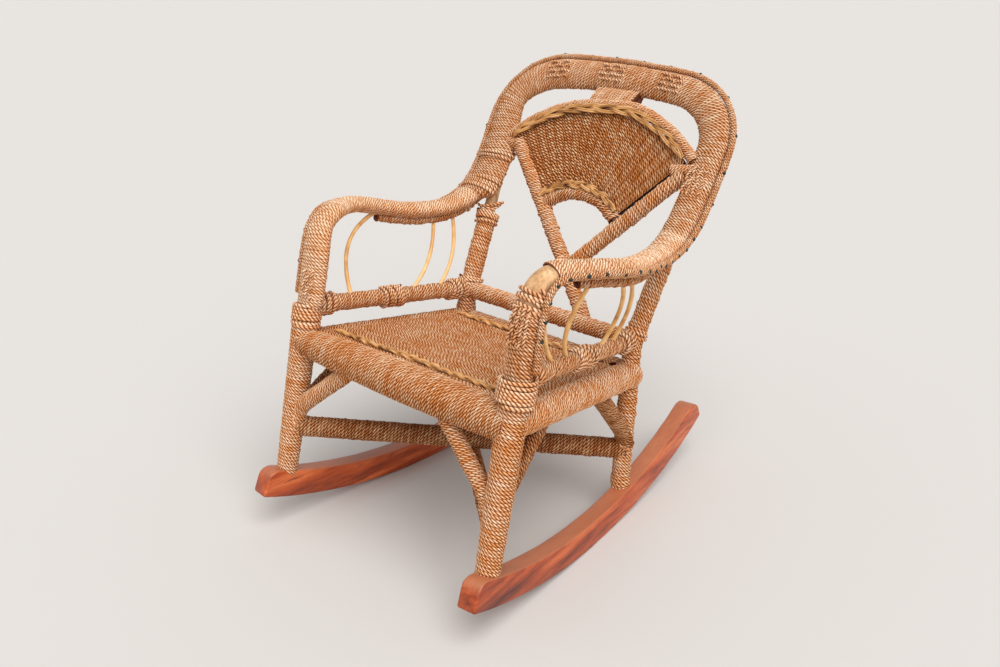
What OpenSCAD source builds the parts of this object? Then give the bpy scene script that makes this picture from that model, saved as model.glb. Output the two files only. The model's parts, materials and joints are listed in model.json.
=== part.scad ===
// Child-size wicker rocking chair: wooden poles bound with twisted grass cord, on two
// bent wooden rockers. The chair faces -Y. The origin is on the floor, midway between
// the two places where the rockers touch it.

/* [Rockers] */
// Radius of the rolling edge of a rocker
rocker_radius = 642; // [560:1:760]
// Height of the rocker board, across its curve
rocker_depth = 33; // [26:1:38]
// Thickness of the rocker board
rocker_thick = 25; // [20:1:28]
// Distance from the middle plane to a rocker, above the contact point
rocker_offset = 156; // [150:1:160]
// Angle by which each rocker turns in towards the back
rocker_splay = 5.2; // [4:0.1:6]
// Angle from the contact point to the front tip
rocker_front_angle = 23; // [21:0.5:26]
// Angle from the contact point to the rear tip
rocker_rear_angle = 25; // [24:0.5:28]

/* [Legs and posts] */
// Radius of a front leg, bound, at the rocker
front_leg_foot_r = 13.5; // [12:0.1:14.5]
// Radius of a front leg, bound, at the seat
front_leg_top_r = 17.5; // [17:0.1:18.5]
// Radius of a rear leg and post, bound
rear_leg_r = 12; // [11:0.1:13]
// Thickness of one layer of cord
cord_layer = 4; // [3:0.1:4.4]

/* [Seat] */
// Radius of the front roll at its ends
front_roll_end_r = 17; // [15:0.5:18]
// Radius of the front roll at its middle
front_roll_mid_r = 21.5; // [19:0.5:23]
// Radius of a side rail, bound
side_rail_r = 16; // [14:0.5:16.5]
// Radius of the back rail of the seat, bound
seat_back_rail_r = 14.5; // [12:0.5:15]
// Thickness of the woven seat
seat_thick = 10; // [8:0.5:14]

/* [Rails and braces] */
// Radius of an arm rail, bound
arm_rail_r = 10; // [9:0.5:10.5]
// Radius of the low back rail, bound
back_rail_r = 10.5; // [9:0.5:11]
// Radius of a crossing stretcher, bound
stretcher_r = 10.9; // [10:0.1:11]
// Radius of a corner brace, bound
brace_r = 8.5; // [7:0.5:9]

/* [Back and arms] */
// Width of the hoop band on the back
hoop_back_w = 41; // [38:0.5:43]
// Width of the hoop band on the arms and posts
hoop_arm_w = 35; // [33:0.5:35]
// Thickness of the hoop band
hoop_thick = 21.5; // [19:0.5:23]
// Diameter of the cord that edges the hoop
edge_cord_d = 8.5; // [7:0.5:9]
// Distance between two tacks along the edge
tack_spacing = 21; // [18:1:30]
// Radius of the outer arch of the fan
fan_arch_radius = 208; // [200:1:210]
// Radius of the inner arch of the fan
fan_inner_radius = 89; // [84:1:94]
// Backward lean of the fan from upright
fan_lean = 25.3; // [24:0.1:27]
// Diameter of a side cane under the arms
cane_d = 4.6; // [3.5:0.1:5]

/* [Hidden] */
$fn = 48;
LEFT = -1;
RIGHT = 1;
grow = 0.05;
far = 60;

// Main joints, all given for the right side; a left point is its mirror image.
front_foot = [175, -211, 66];
front_head = [172, -159.6, 262];
rear_foot = [149, 80, 38.3];
rear_knee = [141, 100, 229];
rear_head = [151, 180, 372];
seat_front_z = 235;
seat_back_z = 198;
arm_rail_front_z = 279;
arm_rail_back_z = 232;
back_rail_z = 230;
tenon_r = 6.5;
tenon_depth = 20;

function side(p, s) = [s * p[0], p[1], p[2]];
function at_height(a, b, z) = a + (b - a) * ((z - a[2]) / (b[2] - a[2]));
function look(v) = [0, acos(v[2] / norm(v)), atan2(v[1], v[0])];
function unit(v) = v / norm(v);
function mix(a, b, t) = a + (b - a) * t;

front_leg_seat = at_height(front_foot, front_head, seat_front_z);
rear_leg_seat = at_height(rear_foot, rear_knee, seat_back_z);
function front_leg_at(z) = at_height(front_foot, front_head, z);
function rear_leg_at(z) = at_height(rear_foot, rear_knee, z);

// A round bar from a to b, with a radius at each end.
module bar(a, b, r1, r2) {
    translate(a) rotate(look(b - a)) cylinder(h = norm(b - a), r1 = r1, r2 = r2);
}

// A bar carried on past both of its ends, used to cut other pieces to fit it.
module long_bar(a, b, r) {
    bar(a - unit(b - a) * far, b + unit(b - a) * far, r, r);
}

/* ---- Rockers ---- */

front_tip_round = 15;
rear_tip_round = 22;

// What is cut away to round the upper corner at a rocker's tip.
module tip_corner(r) {
    translate([-grow, rocker_depth - rocker_radius + grow]) difference() {
        translate([0, -r]) square([r, r + 1]);
        translate([r, -r]) circle(r = r);
    }
}

module rocker_outline() {
    inner = rocker_radius - rocker_depth;
    reach = 2 * rocker_radius;
    difference() {
        intersection() {
            difference() {
                circle(r = rocker_radius, $fn = 360);
                circle(r = inner, $fn = 360);
            }
            polygon([[0, 0],
                reach * [-sin(rocker_front_angle), -cos(rocker_front_angle)],
                [0, -2 * reach],
                reach * [sin(rocker_rear_angle), -cos(rocker_rear_angle)]]);
        }
        rotate(-rocker_front_angle) tip_corner(front_tip_round);
        rotate(rocker_rear_angle) mirror([1, 0, 0]) tip_corner(rear_tip_round);
    }
}

module rocker_board(s, thick = rocker_thick) {
    translate([s * rocker_offset, 0, rocker_radius]) rotate([0, 0, s * rocker_splay])
        rotate([90, 0, 90]) translate([0, 0, -thick / 2]) linear_extrude(thick) rocker_outline();
}

module tenon(foot, head) {
    bar(foot - unit(head - foot) * tenon_depth, foot + unit(head - foot) * 12, tenon_r, tenon_r);
}

module rocker(s) {
    color("#8a4a2c") difference() {
        rocker_board(s);
        tenon(side(front_foot, s), side(front_head, s));
        tenon(side(rear_foot, s), side(rear_knee, s));
    }
}

/* ---- Front legs ---- */

module front_leg_bar(s, inset) {
    start = front_foot - unit(front_head - front_foot) * 12;
    bar(side(start, s), side(front_head, s), front_leg_foot_r - inset, front_leg_top_r - inset);
}

module front_leg_core(s) {
    color("#c79a66") union() {
        difference() {
            front_leg_bar(s, cord_layer);
            rocker_board(s, 2 * rocker_thick);
        }
        tenon(side(front_foot, s), side(front_head, s));
    }
}

module front_leg_wrap(s) {
    color("#c08448") difference() {
        front_leg_bar(s, 0);
        front_leg_bar(s, cord_layer);
        rocker_board(s, 2 * rocker_thick);
        front_rail_bar(front_rail_core_r);
        side_rail_bar(s, side_rail_r - cord_layer - 1);
    }
}

/* ---- Rear legs and posts: one pole, bent at the low back rail ---- */

knuckle = 0.6;

module rear_post_bar(s, inset, top) {
    r = rear_leg_r - inset;
    start = rear_foot - unit(rear_knee - rear_foot) * 10;
    union() {
        bar(side(start, s), side(rear_knee, s), r, r);
        translate(side(rear_knee, s)) sphere(r = r + knuckle);
        bar(side(rear_knee, s), side(top, s), r, r);
    }
}

wrap_end = mix(rear_knee, rear_head, 0.72);

module rear_post_core(s) {
    color("#d6ad77") union() {
        difference() {
            rear_post_bar(s, cord_layer, rear_head);
            rocker_board(s, 2 * rocker_thick);
        }
        tenon(side(rear_foot, s), side(rear_knee, s));
    }
}

module rear_post_wrap(s) {
    color("#b9793f") difference() {
        rear_post_bar(s, 0, wrap_end);
        rear_post_bar(s, cord_layer, rear_head);
        rocker_board(s, 2 * rocker_thick);
        side_rail_bar(s, side_rail_r - cord_layer - 1);
        seat_back_rail_bar(seat_back_rail_r - cord_layer);
        arm_rail_bar(s, arm_rail_r - cord_layer);
        back_rail_bar(back_rail_r - cord_layer);
    }
}

/* ---- Seat frame ---- */

front_rail_core_r = 11.5;

module front_rail_bar(r) {
    bar(side(front_leg_seat, LEFT), front_leg_seat, r, r);
}

// The front roll swells towards its middle, because the seat cords pass over it.
module front_roll() {
    half = front_leg_seat[0];
    swell = front_roll_mid_r - front_roll_end_r;
    arc_r = (half * half + swell * swell) / (2 * swell);
    translate([0, front_leg_seat[1], front_leg_seat[2]]) rotate([0, 90, 0]) rotate_extrude()
        intersection() {
            translate([front_roll_mid_r - arc_r, 0]) circle(r = arc_r, $fn = 720);
            translate([0, -half]) square([2 * front_roll_mid_r, 2 * half]);
        }
}

module front_rail_core() {
    color("#c79a66") difference() {
        front_rail_bar(front_rail_core_r);
        for (s = [LEFT, RIGHT]) front_leg_bar(s, cord_layer);
    }
}

module front_rail_wrap() {
    color("#c98f52") difference() {
        front_roll();
        front_rail_bar(front_rail_core_r);
        for (s = [LEFT, RIGHT]) front_leg_bar(s, 0);
    }
}

module side_rail_bar(s, r) {
    bar(side(front_leg_seat, s), side(rear_leg_seat, s), r, r);
}

module side_rail_core(s) {
    color("#c79a66") difference() {
        side_rail_bar(s, side_rail_r - cord_layer - 1);
        front_leg_bar(s, cord_layer);
        rear_post_bar(s, cord_layer, rear_head);
        front_rail_bar(front_rail_core_r);
        seat_back_rail_bar(seat_back_rail_r - cord_layer);
    }
}

module side_rail_wrap(s) {
    color("#c48a4e") difference() {
        side_rail_bar(s, side_rail_r);
        side_rail_bar(s, side_rail_r - cord_layer - 1);
        front_leg_bar(s, 0);
        rear_post_bar(s, 0, rear_head);
        front_roll();
        seat_back_rail_bar(seat_back_rail_r);
    }
}

module seat_back_rail_bar(r) {
    bar(side(rear_leg_seat, LEFT), rear_leg_seat, r, r);
}

module seat_back_rail_core() {
    color("#c79a66") difference() {
        seat_back_rail_bar(seat_back_rail_r - cord_layer);
        for (s = [LEFT, RIGHT]) rear_post_bar(s, cord_layer, rear_head);
    }
}

module seat_back_rail_wrap() {
    color("#b9793f") difference() {
        seat_back_rail_bar(seat_back_rail_r);
        seat_back_rail_bar(seat_back_rail_r - cord_layer);
        for (s = [LEFT, RIGHT]) rear_post_bar(s, 0, rear_head);
    }
}

/* ---- Woven seat ---- */

seat_rise = atan2(front_leg_seat[2] - rear_leg_seat[2], rear_leg_seat[1] - front_leg_seat[1]);
seat_run = norm([rear_leg_seat[1] - front_leg_seat[1], front_leg_seat[2] - rear_leg_seat[2]]);

// The seat's own plane: x across, y from the front rail's axis to the back rail's axis.
module seat_plane() {
    translate([0, front_leg_seat[1], front_leg_seat[2]]) rotate([-seat_rise, 0, 0]) children();
}

seat_top = side_rail_r + 1;
field_rise = 1;
field_margin = 24;
field_front = 31;
field_back = seat_run - 41;

// A four-sided outline between the seat's side rails, from y0 back to y1.
module seat_outline(y0, y1, margin) {
    half0 = mix(front_leg_seat[0], rear_leg_seat[0], y0 / seat_run) - margin;
    half1 = mix(front_leg_seat[0], rear_leg_seat[0], y1 / seat_run) - margin;
    polygon([[-half0, y0], [half0, y0], [half1, y1], [-half1, y1]]);
}

// The woven seat, with the close-woven field between the two braids standing proud.
module seat_weave() {
    color("#c08a50") difference() {
        seat_plane() translate([0, 0, seat_top - seat_thick]) {
            linear_extrude(seat_thick - field_rise) seat_outline(0, seat_run, 0);
            linear_extrude(seat_thick) seat_outline(field_front, field_back, field_margin);
        }
        front_roll();
        seat_back_rail_bar(seat_back_rail_r);
        for (s = [LEFT, RIGHT]) {
            side_rail_bar(s, side_rail_r);
            front_leg_bar(s, 0);
            rear_post_bar(s, 0, rear_head);
        }
    }
}

braid_r = 4;

module seat_braid(y, half) {
    color("#b59a63") difference() {
        seat_plane() translate([-half, y, seat_top - field_rise]) rotate([0, 90, 0])
            cylinder(h = 2 * half, r = braid_r);
        seat_plane() translate([-2 * half, y - 20, seat_top - field_rise - 20]) cube([4 * half, 40, 20]);
        front_roll();
    }
}

module seat_braid_front() { seat_braid(26, 138); }
module seat_braid_back() { seat_braid(seat_run - 36, 122); }

/* ---- Stretchers, crossing under the seat ---- */

upper_front_z = 121;
upper_back_z = 85;
stretcher_drop = 22;

module stretcher_bar(s, drop, r) {
    bar(side(front_leg_at(upper_front_z - drop), s), side(rear_leg_at(upper_back_z - drop), -s), r, r);
}

module stretcher_core(s, drop) {
    color("#c79a66") difference() {
        stretcher_bar(s, drop, stretcher_r - cord_layer);
        front_leg_bar(s, 0);
        rear_post_bar(-s, 0, rear_head);
    }
}

module stretcher_wrap(s, drop) {
    color("#a8713c") difference() {
        stretcher_bar(s, drop, stretcher_r);
        stretcher_bar(s, drop, stretcher_r - cord_layer);
        front_leg_bar(s, 0);
        rear_post_bar(-s, 0, rear_head);
    }
}

/* ---- Corner braces ---- */

brace_front_leg_z = 155;
brace_side_leg_z = 148;
brace_rear_leg_z = 112;
brace_rail_x = 84;

module brace_neighbours(s) {
    front_leg_bar(s, 0);
    rear_post_bar(s, 0, rear_head);
    front_roll();
    side_rail_bar(s, side_rail_r);
}

module brace_front(s, r) {
    rail_point = [s * brace_rail_x, front_leg_seat[1], front_leg_seat[2]];
    bar(side(front_leg_at(brace_front_leg_z), s), rail_point, r, r);
}

module brace_side_front(s, r) {
    bar(side(front_leg_at(brace_side_leg_z), s), side(mix(front_leg_seat, rear_leg_seat, 0.29), s), r, r);
}

module brace_side_rear(s, r) {
    bar(side(rear_leg_at(brace_rear_leg_z), s), side(mix(front_leg_seat, rear_leg_seat, 0.63), s), r, r);
}

brace_core_r = brace_r - cord_layer;

module corner_brace_cores() {
    color("#c79a66") for (s = [LEFT, RIGHT]) {
        difference() {
            brace_front(s, brace_core_r);
            brace_neighbours(s);
        }
        difference() {
            brace_side_front(s, brace_core_r);
            brace_neighbours(s);
        }
        difference() {
            brace_side_rear(s, brace_core_r);
            brace_neighbours(s);
        }
    }
}

module corner_brace_wraps() {
    color("#b9793f") for (s = [LEFT, RIGHT]) {
        difference() {
            brace_front(s, brace_r);
            brace_front(s, brace_core_r);
            brace_neighbours(s);
        }
        difference() {
            brace_side_front(s, brace_r);
            brace_side_front(s, brace_core_r);
            brace_front(s, brace_r);
            brace_neighbours(s);
        }
        difference() {
            brace_side_rear(s, brace_r);
            brace_side_rear(s, brace_core_r);
            brace_neighbours(s);
        }
    }
}

/* ---- Arm rails and the low back rail ---- */

arm_rail_gap = 0.6;
post_front = front_leg_at(arm_rail_front_z);
arm_rail_back = [rear_knee[0], rear_knee[1], arm_rail_back_z];
arm_rail_dir = unit(arm_rail_back - post_front);
arm_rail_start = post_front + arm_rail_dir * (hoop_thick / 2 + arm_rail_gap);

module arm_rail_bar(s, r) {
    bar(side(arm_rail_start, s), side(arm_rail_back, s), r, r);
}

module arm_rail_core(s) {
    color("#c79a66") difference() {
        arm_rail_bar(s, arm_rail_r - cord_layer);
        rear_post_bar(s, cord_layer, rear_head);
        back_rail_bar(back_rail_r - cord_layer);
    }
}

module arm_rail_wrap(s) {
    color("#c48a4e") difference() {
        arm_rail_bar(s, arm_rail_r);
        arm_rail_bar(s, arm_rail_r - cord_layer);
        rear_post_bar(s, 0, rear_head);
        back_rail_bar(back_rail_r);
    }
}

back_rail_end = [rear_knee[0], rear_knee[1] + 1, back_rail_z];

module back_rail_bar(r) {
    bar(side(back_rail_end, LEFT), back_rail_end, r, r);
}

module back_rail_core() {
    color("#c79a66") difference() {
        back_rail_bar(back_rail_r - cord_layer);
        for (s = [LEFT, RIGHT]) rear_post_bar(s, cord_layer, rear_head);
    }
}

module back_rail_wrap() {
    color("#b9793f") difference() {
        back_rail_bar(back_rail_r);
        back_rail_bar(back_rail_r - cord_layer);
        for (s = [LEFT, RIGHT]) rear_post_bar(s, 0, rear_head);
    }
}

/* ---- Hoop: one flat pole from the left post, over the arms and the back, to the right ---- */

back_lean = 34.6;

// Route of the hoop's axis on the right side, from the post's foot to the top of the back.
// Each point is x, y, z, the tilt of the band's face from facing forward, and the width.
hoop_half = [
    [172, -159.5, 262.6, 15, hoop_arm_w],
    [171.5, -152, 290, 15, hoop_arm_w],
    [171, -144, 320, 15, hoop_arm_w],
    [171, -136, 346, 22, hoop_arm_w],
    [173, -122, 368, 50, hoop_arm_w],
    [178, -102, 380, 78, hoop_arm_w],
    [190, -78, 382.5, 92, hoop_arm_w],
    [200, -50, 379, 96, hoop_arm_w],
    [202, -20, 372, 99, hoop_arm_w],
    [196, 10, 364, 99, hoop_arm_w],
    [186, 42, 357, 96, hoop_arm_w],
    [178, 76, 352, 89, hoop_arm_w],
    [172, 108, 352.5, 78, hoop_arm_w + 2],
    [168, 138, 361, 64, hoop_back_w - 2],
    [166, 163, 377.5, 50, hoop_back_w],
    [166.5, 183, 399, 39, hoop_back_w],
    [168, 200.5, 422, back_lean, hoop_back_w],
    [170, 217, 446, back_lean, hoop_back_w],
    [169.5, 231.5, 467, back_lean, hoop_back_w],
    [163, 243.2, 484, back_lean, hoop_back_w],
    [150, 253.5, 499, back_lean, hoop_back_w],
    [131, 261, 510, back_lean, hoop_back_w],
    [106, 265.3, 516.3, back_lean, hoop_back_w],
    [72, 266.6, 518, back_lean, hoop_back_w],
    [36, 266.6, 518, back_lean, hoop_back_w],
    [0, 266.6, 518, back_lean, hoop_back_w]
];

last = len(hoop_half) - 1;

// The right shoulder of the hand-bent hoop sits a little lower and further in.
shoulder_in = 6;
shoulder_down = 6;
function settled(k) =
    let (w = max(0, k[2] - 380) / 138 * k[0] / 170)
    [k[0] - shoulder_in * w, k[1], k[2] - shoulder_down * w, k[3], k[4]];

hoop_keys = concat(
    [for (k = hoop_half) [-k[0], k[1], k[2], k[3], k[4]]],
    [for (i = [last - 1:-1:0]) settled(hoop_half[i])]);
key_count = len(hoop_keys);

// Smooth curve through the keys; t counts keys.
function spline(keys, t) =
    let (n = len(keys), i = min(max(floor(t), 0), n - 2), f = t - i,
        a = keys[max(i - 1, 0)], b = keys[i], c = keys[i + 1], d = keys[min(i + 2, n - 1)])
    0.5 * (2 * b + (c - a) * f + (2 * a - 5 * b + 4 * c - d) * f * f + (3 * b - a - 3 * c + d) * f * f * f);

function xyz(k) = [k[0], k[1], k[2]];
function hoop_point(t) = xyz(spline(hoop_keys, t));
function hoop_tangent(t) = unit(hoop_point(min(t + 0.1, key_count - 1)) - hoop_point(max(t - 0.1, 0)));
function hoop_inward(t) =
    let (tilt = spline(hoop_keys, t)[3])
    unit(cross(hoop_tangent(t), [0, -cos(tilt), sin(tilt)]));
function hoop_face(t) = cross(hoop_inward(t), hoop_tangent(t));
function hoop_width(t) = spline(hoop_keys, t)[4];

// One ring of points round the hoop's axis, as an ellipse of the band's width and thickness.
function band_ring(t, inset, sides) =
    let (c = hoop_point(t), u = hoop_inward(t), v = hoop_face(t),
        a = hoop_width(t) / 2 - inset, b = hoop_thick / 2 - inset)
    [for (j = [0:sides - 1]) c + u * a * cos(360 * j / sides) + v * b * sin(360 * j / sides)];

// A round cord beside the hoop: out is the distance from the axis to the outside of the
// band, down the distance below its face.
function cord_ring(t, out, down, r, sides) =
    let (c = hoop_point(t) - hoop_inward(t) * out - hoop_face(t) * down,
        u = hoop_inward(t), v = hoop_face(t))
    [for (j = [0:sides - 1]) c + r * (u * cos(360 * j / sides) + v * sin(360 * j / sides))];

module skin(rings, flip = false) {
    n = len(rings);
    m = len(rings[0]);
    sides = [for (i = [0:n - 2], j = [0:m - 1])
        [i * m + j, i * m + (j + 1) % m, (i + 1) * m + (j + 1) % m, (i + 1) * m + j]];
    ends = [[for (j = [m - 1:-1:0]) j], [for (j = [0:m - 1]) (n - 1) * m + j]];
    polyhedron([for (r = rings) each r], concat(sides, ends), convexity = 10);
}

// A tube wall: the outer rings, then the inner rings, joined at both ends.
module sleeve(outer, inner) {
    n = len(outer);
    m = len(outer[0]);
    k = n * m;
    outside = [for (i = [0:n - 2], j = [0:m - 1])
        [i * m + j, i * m + (j + 1) % m, (i + 1) * m + (j + 1) % m, (i + 1) * m + j]];
    inside = [for (f = outside) [for (q = [3:-1:0]) f[q] + k]];
    start = [for (j = [0:m - 1]) [j, k + j, k + (j + 1) % m, (j + 1) % m]];
    finish = [for (q = start) [for (p = [3:-1:0]) q[p] + (n - 1) * m]];
    polyhedron([for (r = concat(outer, inner)) each r], concat(outside, inside, start, finish),
        convexity = 10);
}

band_sides = 14;
half_key = 0.5;
bare_from = key_count - 1 - 5;
bare_to = key_count - 1 - 4;
// The hoop is wound in three lengths: the left arm, the back and the right arm.
winding_ends = [0, 13, key_count - 14, bare_from];

module hoop_core() {
    color("#d6ad77")
        skin([for (t = [0:half_key:key_count - 1]) band_ring(t, cord_layer - 1, band_sides)]);
}

module hoop_sleeve(from, to) {
    sleeve([for (t = [from:half_key:to]) band_ring(t, 0, band_sides)],
        [for (t = [from:half_key:to]) band_ring(t, cord_layer - 1, band_sides)]);
}

module hoop_wrap(part) {
    color("#cf9860") hoop_sleeve(winding_ends[part], winding_ends[part + 1]);
}

module post_wrap_right() {
    color("#cf9860") hoop_sleeve(bare_to, key_count - 1);
}

edge_margin = 1;

module hoop_edge_cord() {
    color("#c98f52")
        skin([for (t = [edge_margin:half_key:key_count - 1 - edge_margin])
            cord_ring(t, (hoop_width(t) + edge_cord_d) / 2, 0, edge_cord_d / 2, 8)]);
}

hoop_length = 1420;
tack_count = floor(hoop_length / tack_spacing);

module edge_tacks() {
    head_r = 2.3;
    head_h = 1.2;
    shank_r = 0.8;
    shank = edge_cord_d + 5;
    color("#5f7f78") for (i = [0:tack_count]) {
        t = mix(edge_margin + 0.4, key_count - 1.4 - edge_margin, i / tack_count);
        outward = -hoop_inward(t);
        head = hoop_point(t) + outward * (hoop_width(t) / 2 + edge_cord_d);
        bar(head - outward * shank, head, shank_r, shank_r);
        bar(head, head + outward * head_h, head_r, head_r * 0.6);
    }
}

/* ---- Bindings where the hoop stands on the front legs ---- */

binding_low_z = 252;
binding_high_z = 281;

module post_binding(s) {
    low = side(front_leg_at(binding_low_z), s);
    high = side(front_leg_at(binding_high_z), s);
    color("#b9793f") difference() {
        bar(low, high, front_leg_top_r + cord_layer, front_leg_top_r + cord_layer);
        long_bar(low, high, front_leg_top_r + 0.2);
        front_roll();
        side_rail_bar(s, side_rail_r);
        bar(side(post_front, s), side(arm_rail_back, s), arm_rail_r, arm_rail_r);
    }
}

/* ---- Thin rails under the arms, and the bent canes they hold ---- */

under_rail_r = 5.5;
under_rail_drop = hoop_thick / 2 + under_rail_r + 0.2;

module under_arm_rail(s) {
    keys = s == LEFT ? [8.5:half_key:12] : [key_count - 11.5:half_key:key_count - 7];
    color("#c48a4e") skin([for (t = keys) cord_ring(t, 0, under_rail_drop, under_rail_r, 10)]);
}

// A bent round cane from a to b, bowed sideways by sag along the direction out.
module bent_cane(a, b, out, sag, r) {
    chord = norm(b - a);
    radius = (chord * chord / 4 + sag * sag) / (2 * sag);
    half = asin(chord / 2 / radius);
    v = unit(b - a);
    u = unit(out - v * (out * v));
    w = cross(u, v);
    translate((a + b) / 2 - u * (radius - sag))
        rotate([atan2(v[2], w[2]), -asin(u[2]), atan2(u[1], u[0])])
        rotate([0, 0, -half]) rotate_extrude(angle = 2 * half, $fn = 96)
            translate([radius, 0]) circle(r = r, $fn = 24);
}

// Cane ends: y at the top, y at the foot, the bow towards the front (minus) or the back
// (plus), and whether the thin under-arm rail is above the cane.
canes_left = [[-14, -84, -22, false], [76, 10, 14, true], [104, 50, 12, true]];
canes_right = [[-98, -88, -16, false], [-64, -54, -13, true], [6, 14, 11, true], [28, 42, 10, true]];

function hoop_key_at(y) = lookup(y, [for (i = [4:13]) [hoop_half[i][1], i]]);

module cane_row(s, canes) {
    color("#e0bf86") for (c = canes) {
        foot_t = (c[1] - arm_rail_start[1]) / (arm_rail_back[1] - arm_rail_start[1]);
        foot = mix(arm_rail_start, arm_rail_back, foot_t) + [0, 0, arm_rail_r + 0.4];
        t = s == LEFT ? hoop_key_at(c[0]) : key_count - 1 - hoop_key_at(c[0]);
        drop = c[3] ? under_rail_drop + under_rail_r : hoop_thick / 2;
        head = hoop_point(t) - hoop_face(t) * (drop + 0.5);
        bent_cane(side(foot, s), head, [0, 1, 0] * sign(c[2]), abs(c[2]), cane_d / 2);
    }
}

/* ---- Fan-shaped back panel ---- */

// The fan's own plane: x to the right, z up the panel, y through it to the back. Its
// origin is the centre of the arches.
fan_centre = [0, 142, 300];

module fan_plane() {
    translate(fan_centre) rotate([-fan_lean, 0, 0]) children();
}

module fan_arc(radius, r, from, to) {
    rotate([90, 0, 0]) rotate([0, 0, from]) rotate_extrude(angle = to - from, $fn = 180)
        translate([radius, 0]) circle(r = r, $fn = 32);
}

pole_r = 9;
pole_core_r = 5.4;
arch_r = 8;
pole_cross_gap = 5.8;
pole_left_head = [-137, -1, 142];
pole_left_foot = [59, 6, -74];
pole_right_head = [139, 1, 142];
pole_right_foot = [-40, -13, -74];
fan_half_angle = 44.5;

module pole_left_bar(r) { fan_plane() bar(pole_left_foot, pole_left_head, r, r); }
module pole_right_bar(r) { fan_plane() bar(pole_right_foot, pole_right_head, r, r); }

module fan_arch_bar(r) {
    fan_plane() fan_arc(fan_arch_radius, r, 90 - fan_half_angle, 90 + fan_half_angle);
}

module fan_inner_arch_bar(r) {
    fan_plane() fan_arc(fan_inner_radius, r, 90 - fan_half_angle, 90 + fan_half_angle);
}

module fan_pole_rising_left() {
    color("#c79a66") difference() {
        pole_left_bar(pole_core_r);
        back_rail_bar(back_rail_r);
        fan_arch_bar(arch_r);
    }
}

module fan_pole_rising_right() {
    color("#c79a66") difference() {
        pole_right_bar(pole_core_r);
        back_rail_bar(back_rail_r);
        fan_arch_bar(arch_r);
    }
}

crossing = [7.5, -3, -17];
crossing_r = 17;
crossing_half = 14;

module crossing_block() {
    fan_plane() translate(crossing) rotate([90, 0, 0])
        cylinder(h = 2 * crossing_half, r = crossing_r, center = true);
}

module fan_pole_wraps() {
    color("#b9793f") {
        difference() {
            pole_left_bar(pole_r);
            pole_left_bar(pole_core_r);
            back_rail_bar(back_rail_r);
            fan_arch_bar(arch_r);
            crossing_block();
        }
        difference() {
            pole_right_bar(pole_r);
            pole_right_bar(pole_core_r);
            back_rail_bar(back_rail_r);
            fan_arch_bar(arch_r);
            crossing_block();
        }
    }
}

module fan_crossing_lashing() {
    color("#a8713c") difference() {
        crossing_block();
        pole_left_bar(pole_core_r);
        pole_right_bar(pole_core_r);
    }
}

module fan_arch_core() {
    color("#c79a66") fan_arch_bar(arch_r - 3);
}

module fan_arch_wrap() {
    color("#c98f52") difference() {
        fan_arch_bar(arch_r);
        fan_arch_bar(arch_r - 3);
    }
}

module fan_inner_arch_core() {
    color("#c79a66") difference() {
        fan_inner_arch_bar(arch_r - 3);
        pole_left_bar(pole_r);
        pole_right_bar(pole_r);
    }
}

module fan_inner_arch_wrap() {
    color("#b9793f") difference() {
        fan_inner_arch_bar(arch_r);
        fan_inner_arch_bar(arch_r - 3);
        pole_left_bar(pole_r);
        pole_right_bar(pole_r);
    }
}

stake_r = 1.8;
stake_count = 17;
stake_inset = 2;
weave_thick = 8;
weave_inner = fan_inner_radius + arch_r;
weave_outer = fan_arch_radius - arch_r;

module stake_rows(r, past = 0) {
    spread = 2 * fan_half_angle - 14;
    fan_plane() for (i = [0:stake_count - 1]) {
        angle = -spread / 2 + spread * i / (stake_count - 1);
        rotate([0, angle, 0]) translate([0, 0, weave_inner + stake_inset - past])
            cylinder(h = weave_outer - weave_inner - 2 * stake_inset + 2 * past, r = r);
    }
}

module fan_stakes() {
    color("#d6ad77") stake_rows(stake_r);
}

module fan_weave() {
    color("#b5763c") difference() {
        fan_plane() rotate([90, 0, 0]) translate([0, 0, -weave_thick / 2]) linear_extrude(weave_thick)
            difference() {
                circle(r = weave_outer, $fn = 180);
                circle(r = weave_inner, $fn = 180);
                translate([-300, -600]) square([600, 600]);
                rotate(fan_half_angle) translate([-300, 0]) square([300, 600]);
                rotate(-fan_half_angle) square([300, 600]);
            }
        pole_left_bar(pole_r);
        pole_right_bar(pole_r);
        stake_rows(stake_r, 3 * stake_inset);
    }
}

braid_front = -weave_thick / 2 - 2;

module fan_braid(radius, r, half_angle) {
    color("#c2a368") difference() {
        fan_plane() translate([0, braid_front - r + 1.5, 0])
            fan_arc(radius, r, 90 - half_angle, 90 + half_angle);
        fan_arch_bar(arch_r);
        fan_inner_arch_bar(arch_r);
        pole_left_bar(pole_r);
        pole_right_bar(pole_r);
        fan_plane() translate([-300, -weave_thick / 2, -300]) cube([600, weave_thick, 600]);
    }
}

module fan_braid_top() { fan_braid(fan_arch_radius - 5, 5, 42); }
module fan_braid_bottom() { fan_braid(fan_inner_radius + 8, 4, 40); }

neck_r = 8.2;
neck_half = 30;
neck_x = 16;

module fan_neck() {
    hoop_top = hoop_point((key_count - 1) / 2);
    lean = [0, sin(back_lean), cos(back_lean)];
    band_bottom = [neck_x, hoop_top[1], hoop_top[2]] - lean * (hoop_back_w / 2);
    middle = band_bottom - lean * neck_r + [0, -cos(back_lean), sin(back_lean)] * 5;
    color("#c98f52") bar(middle - [neck_half, 0, 0], middle + [neck_half, 0, 0], neck_r, neck_r);
}

module fan_side_ties() {
    tie_r = 8;
    tie_z = 427;
    tie_y = 204;
    reach = 145.5;
    color("#c98f52") for (s = [LEFT, RIGHT]) difference() {
        bar([s * (reach - 16), tie_y, tie_z], [s * reach, tie_y, tie_z], tie_r, tie_r);
        pole_left_bar(pole_r);
        pole_right_bar(pole_r);
        fan_arch_bar(arch_r);
    }
}

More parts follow.
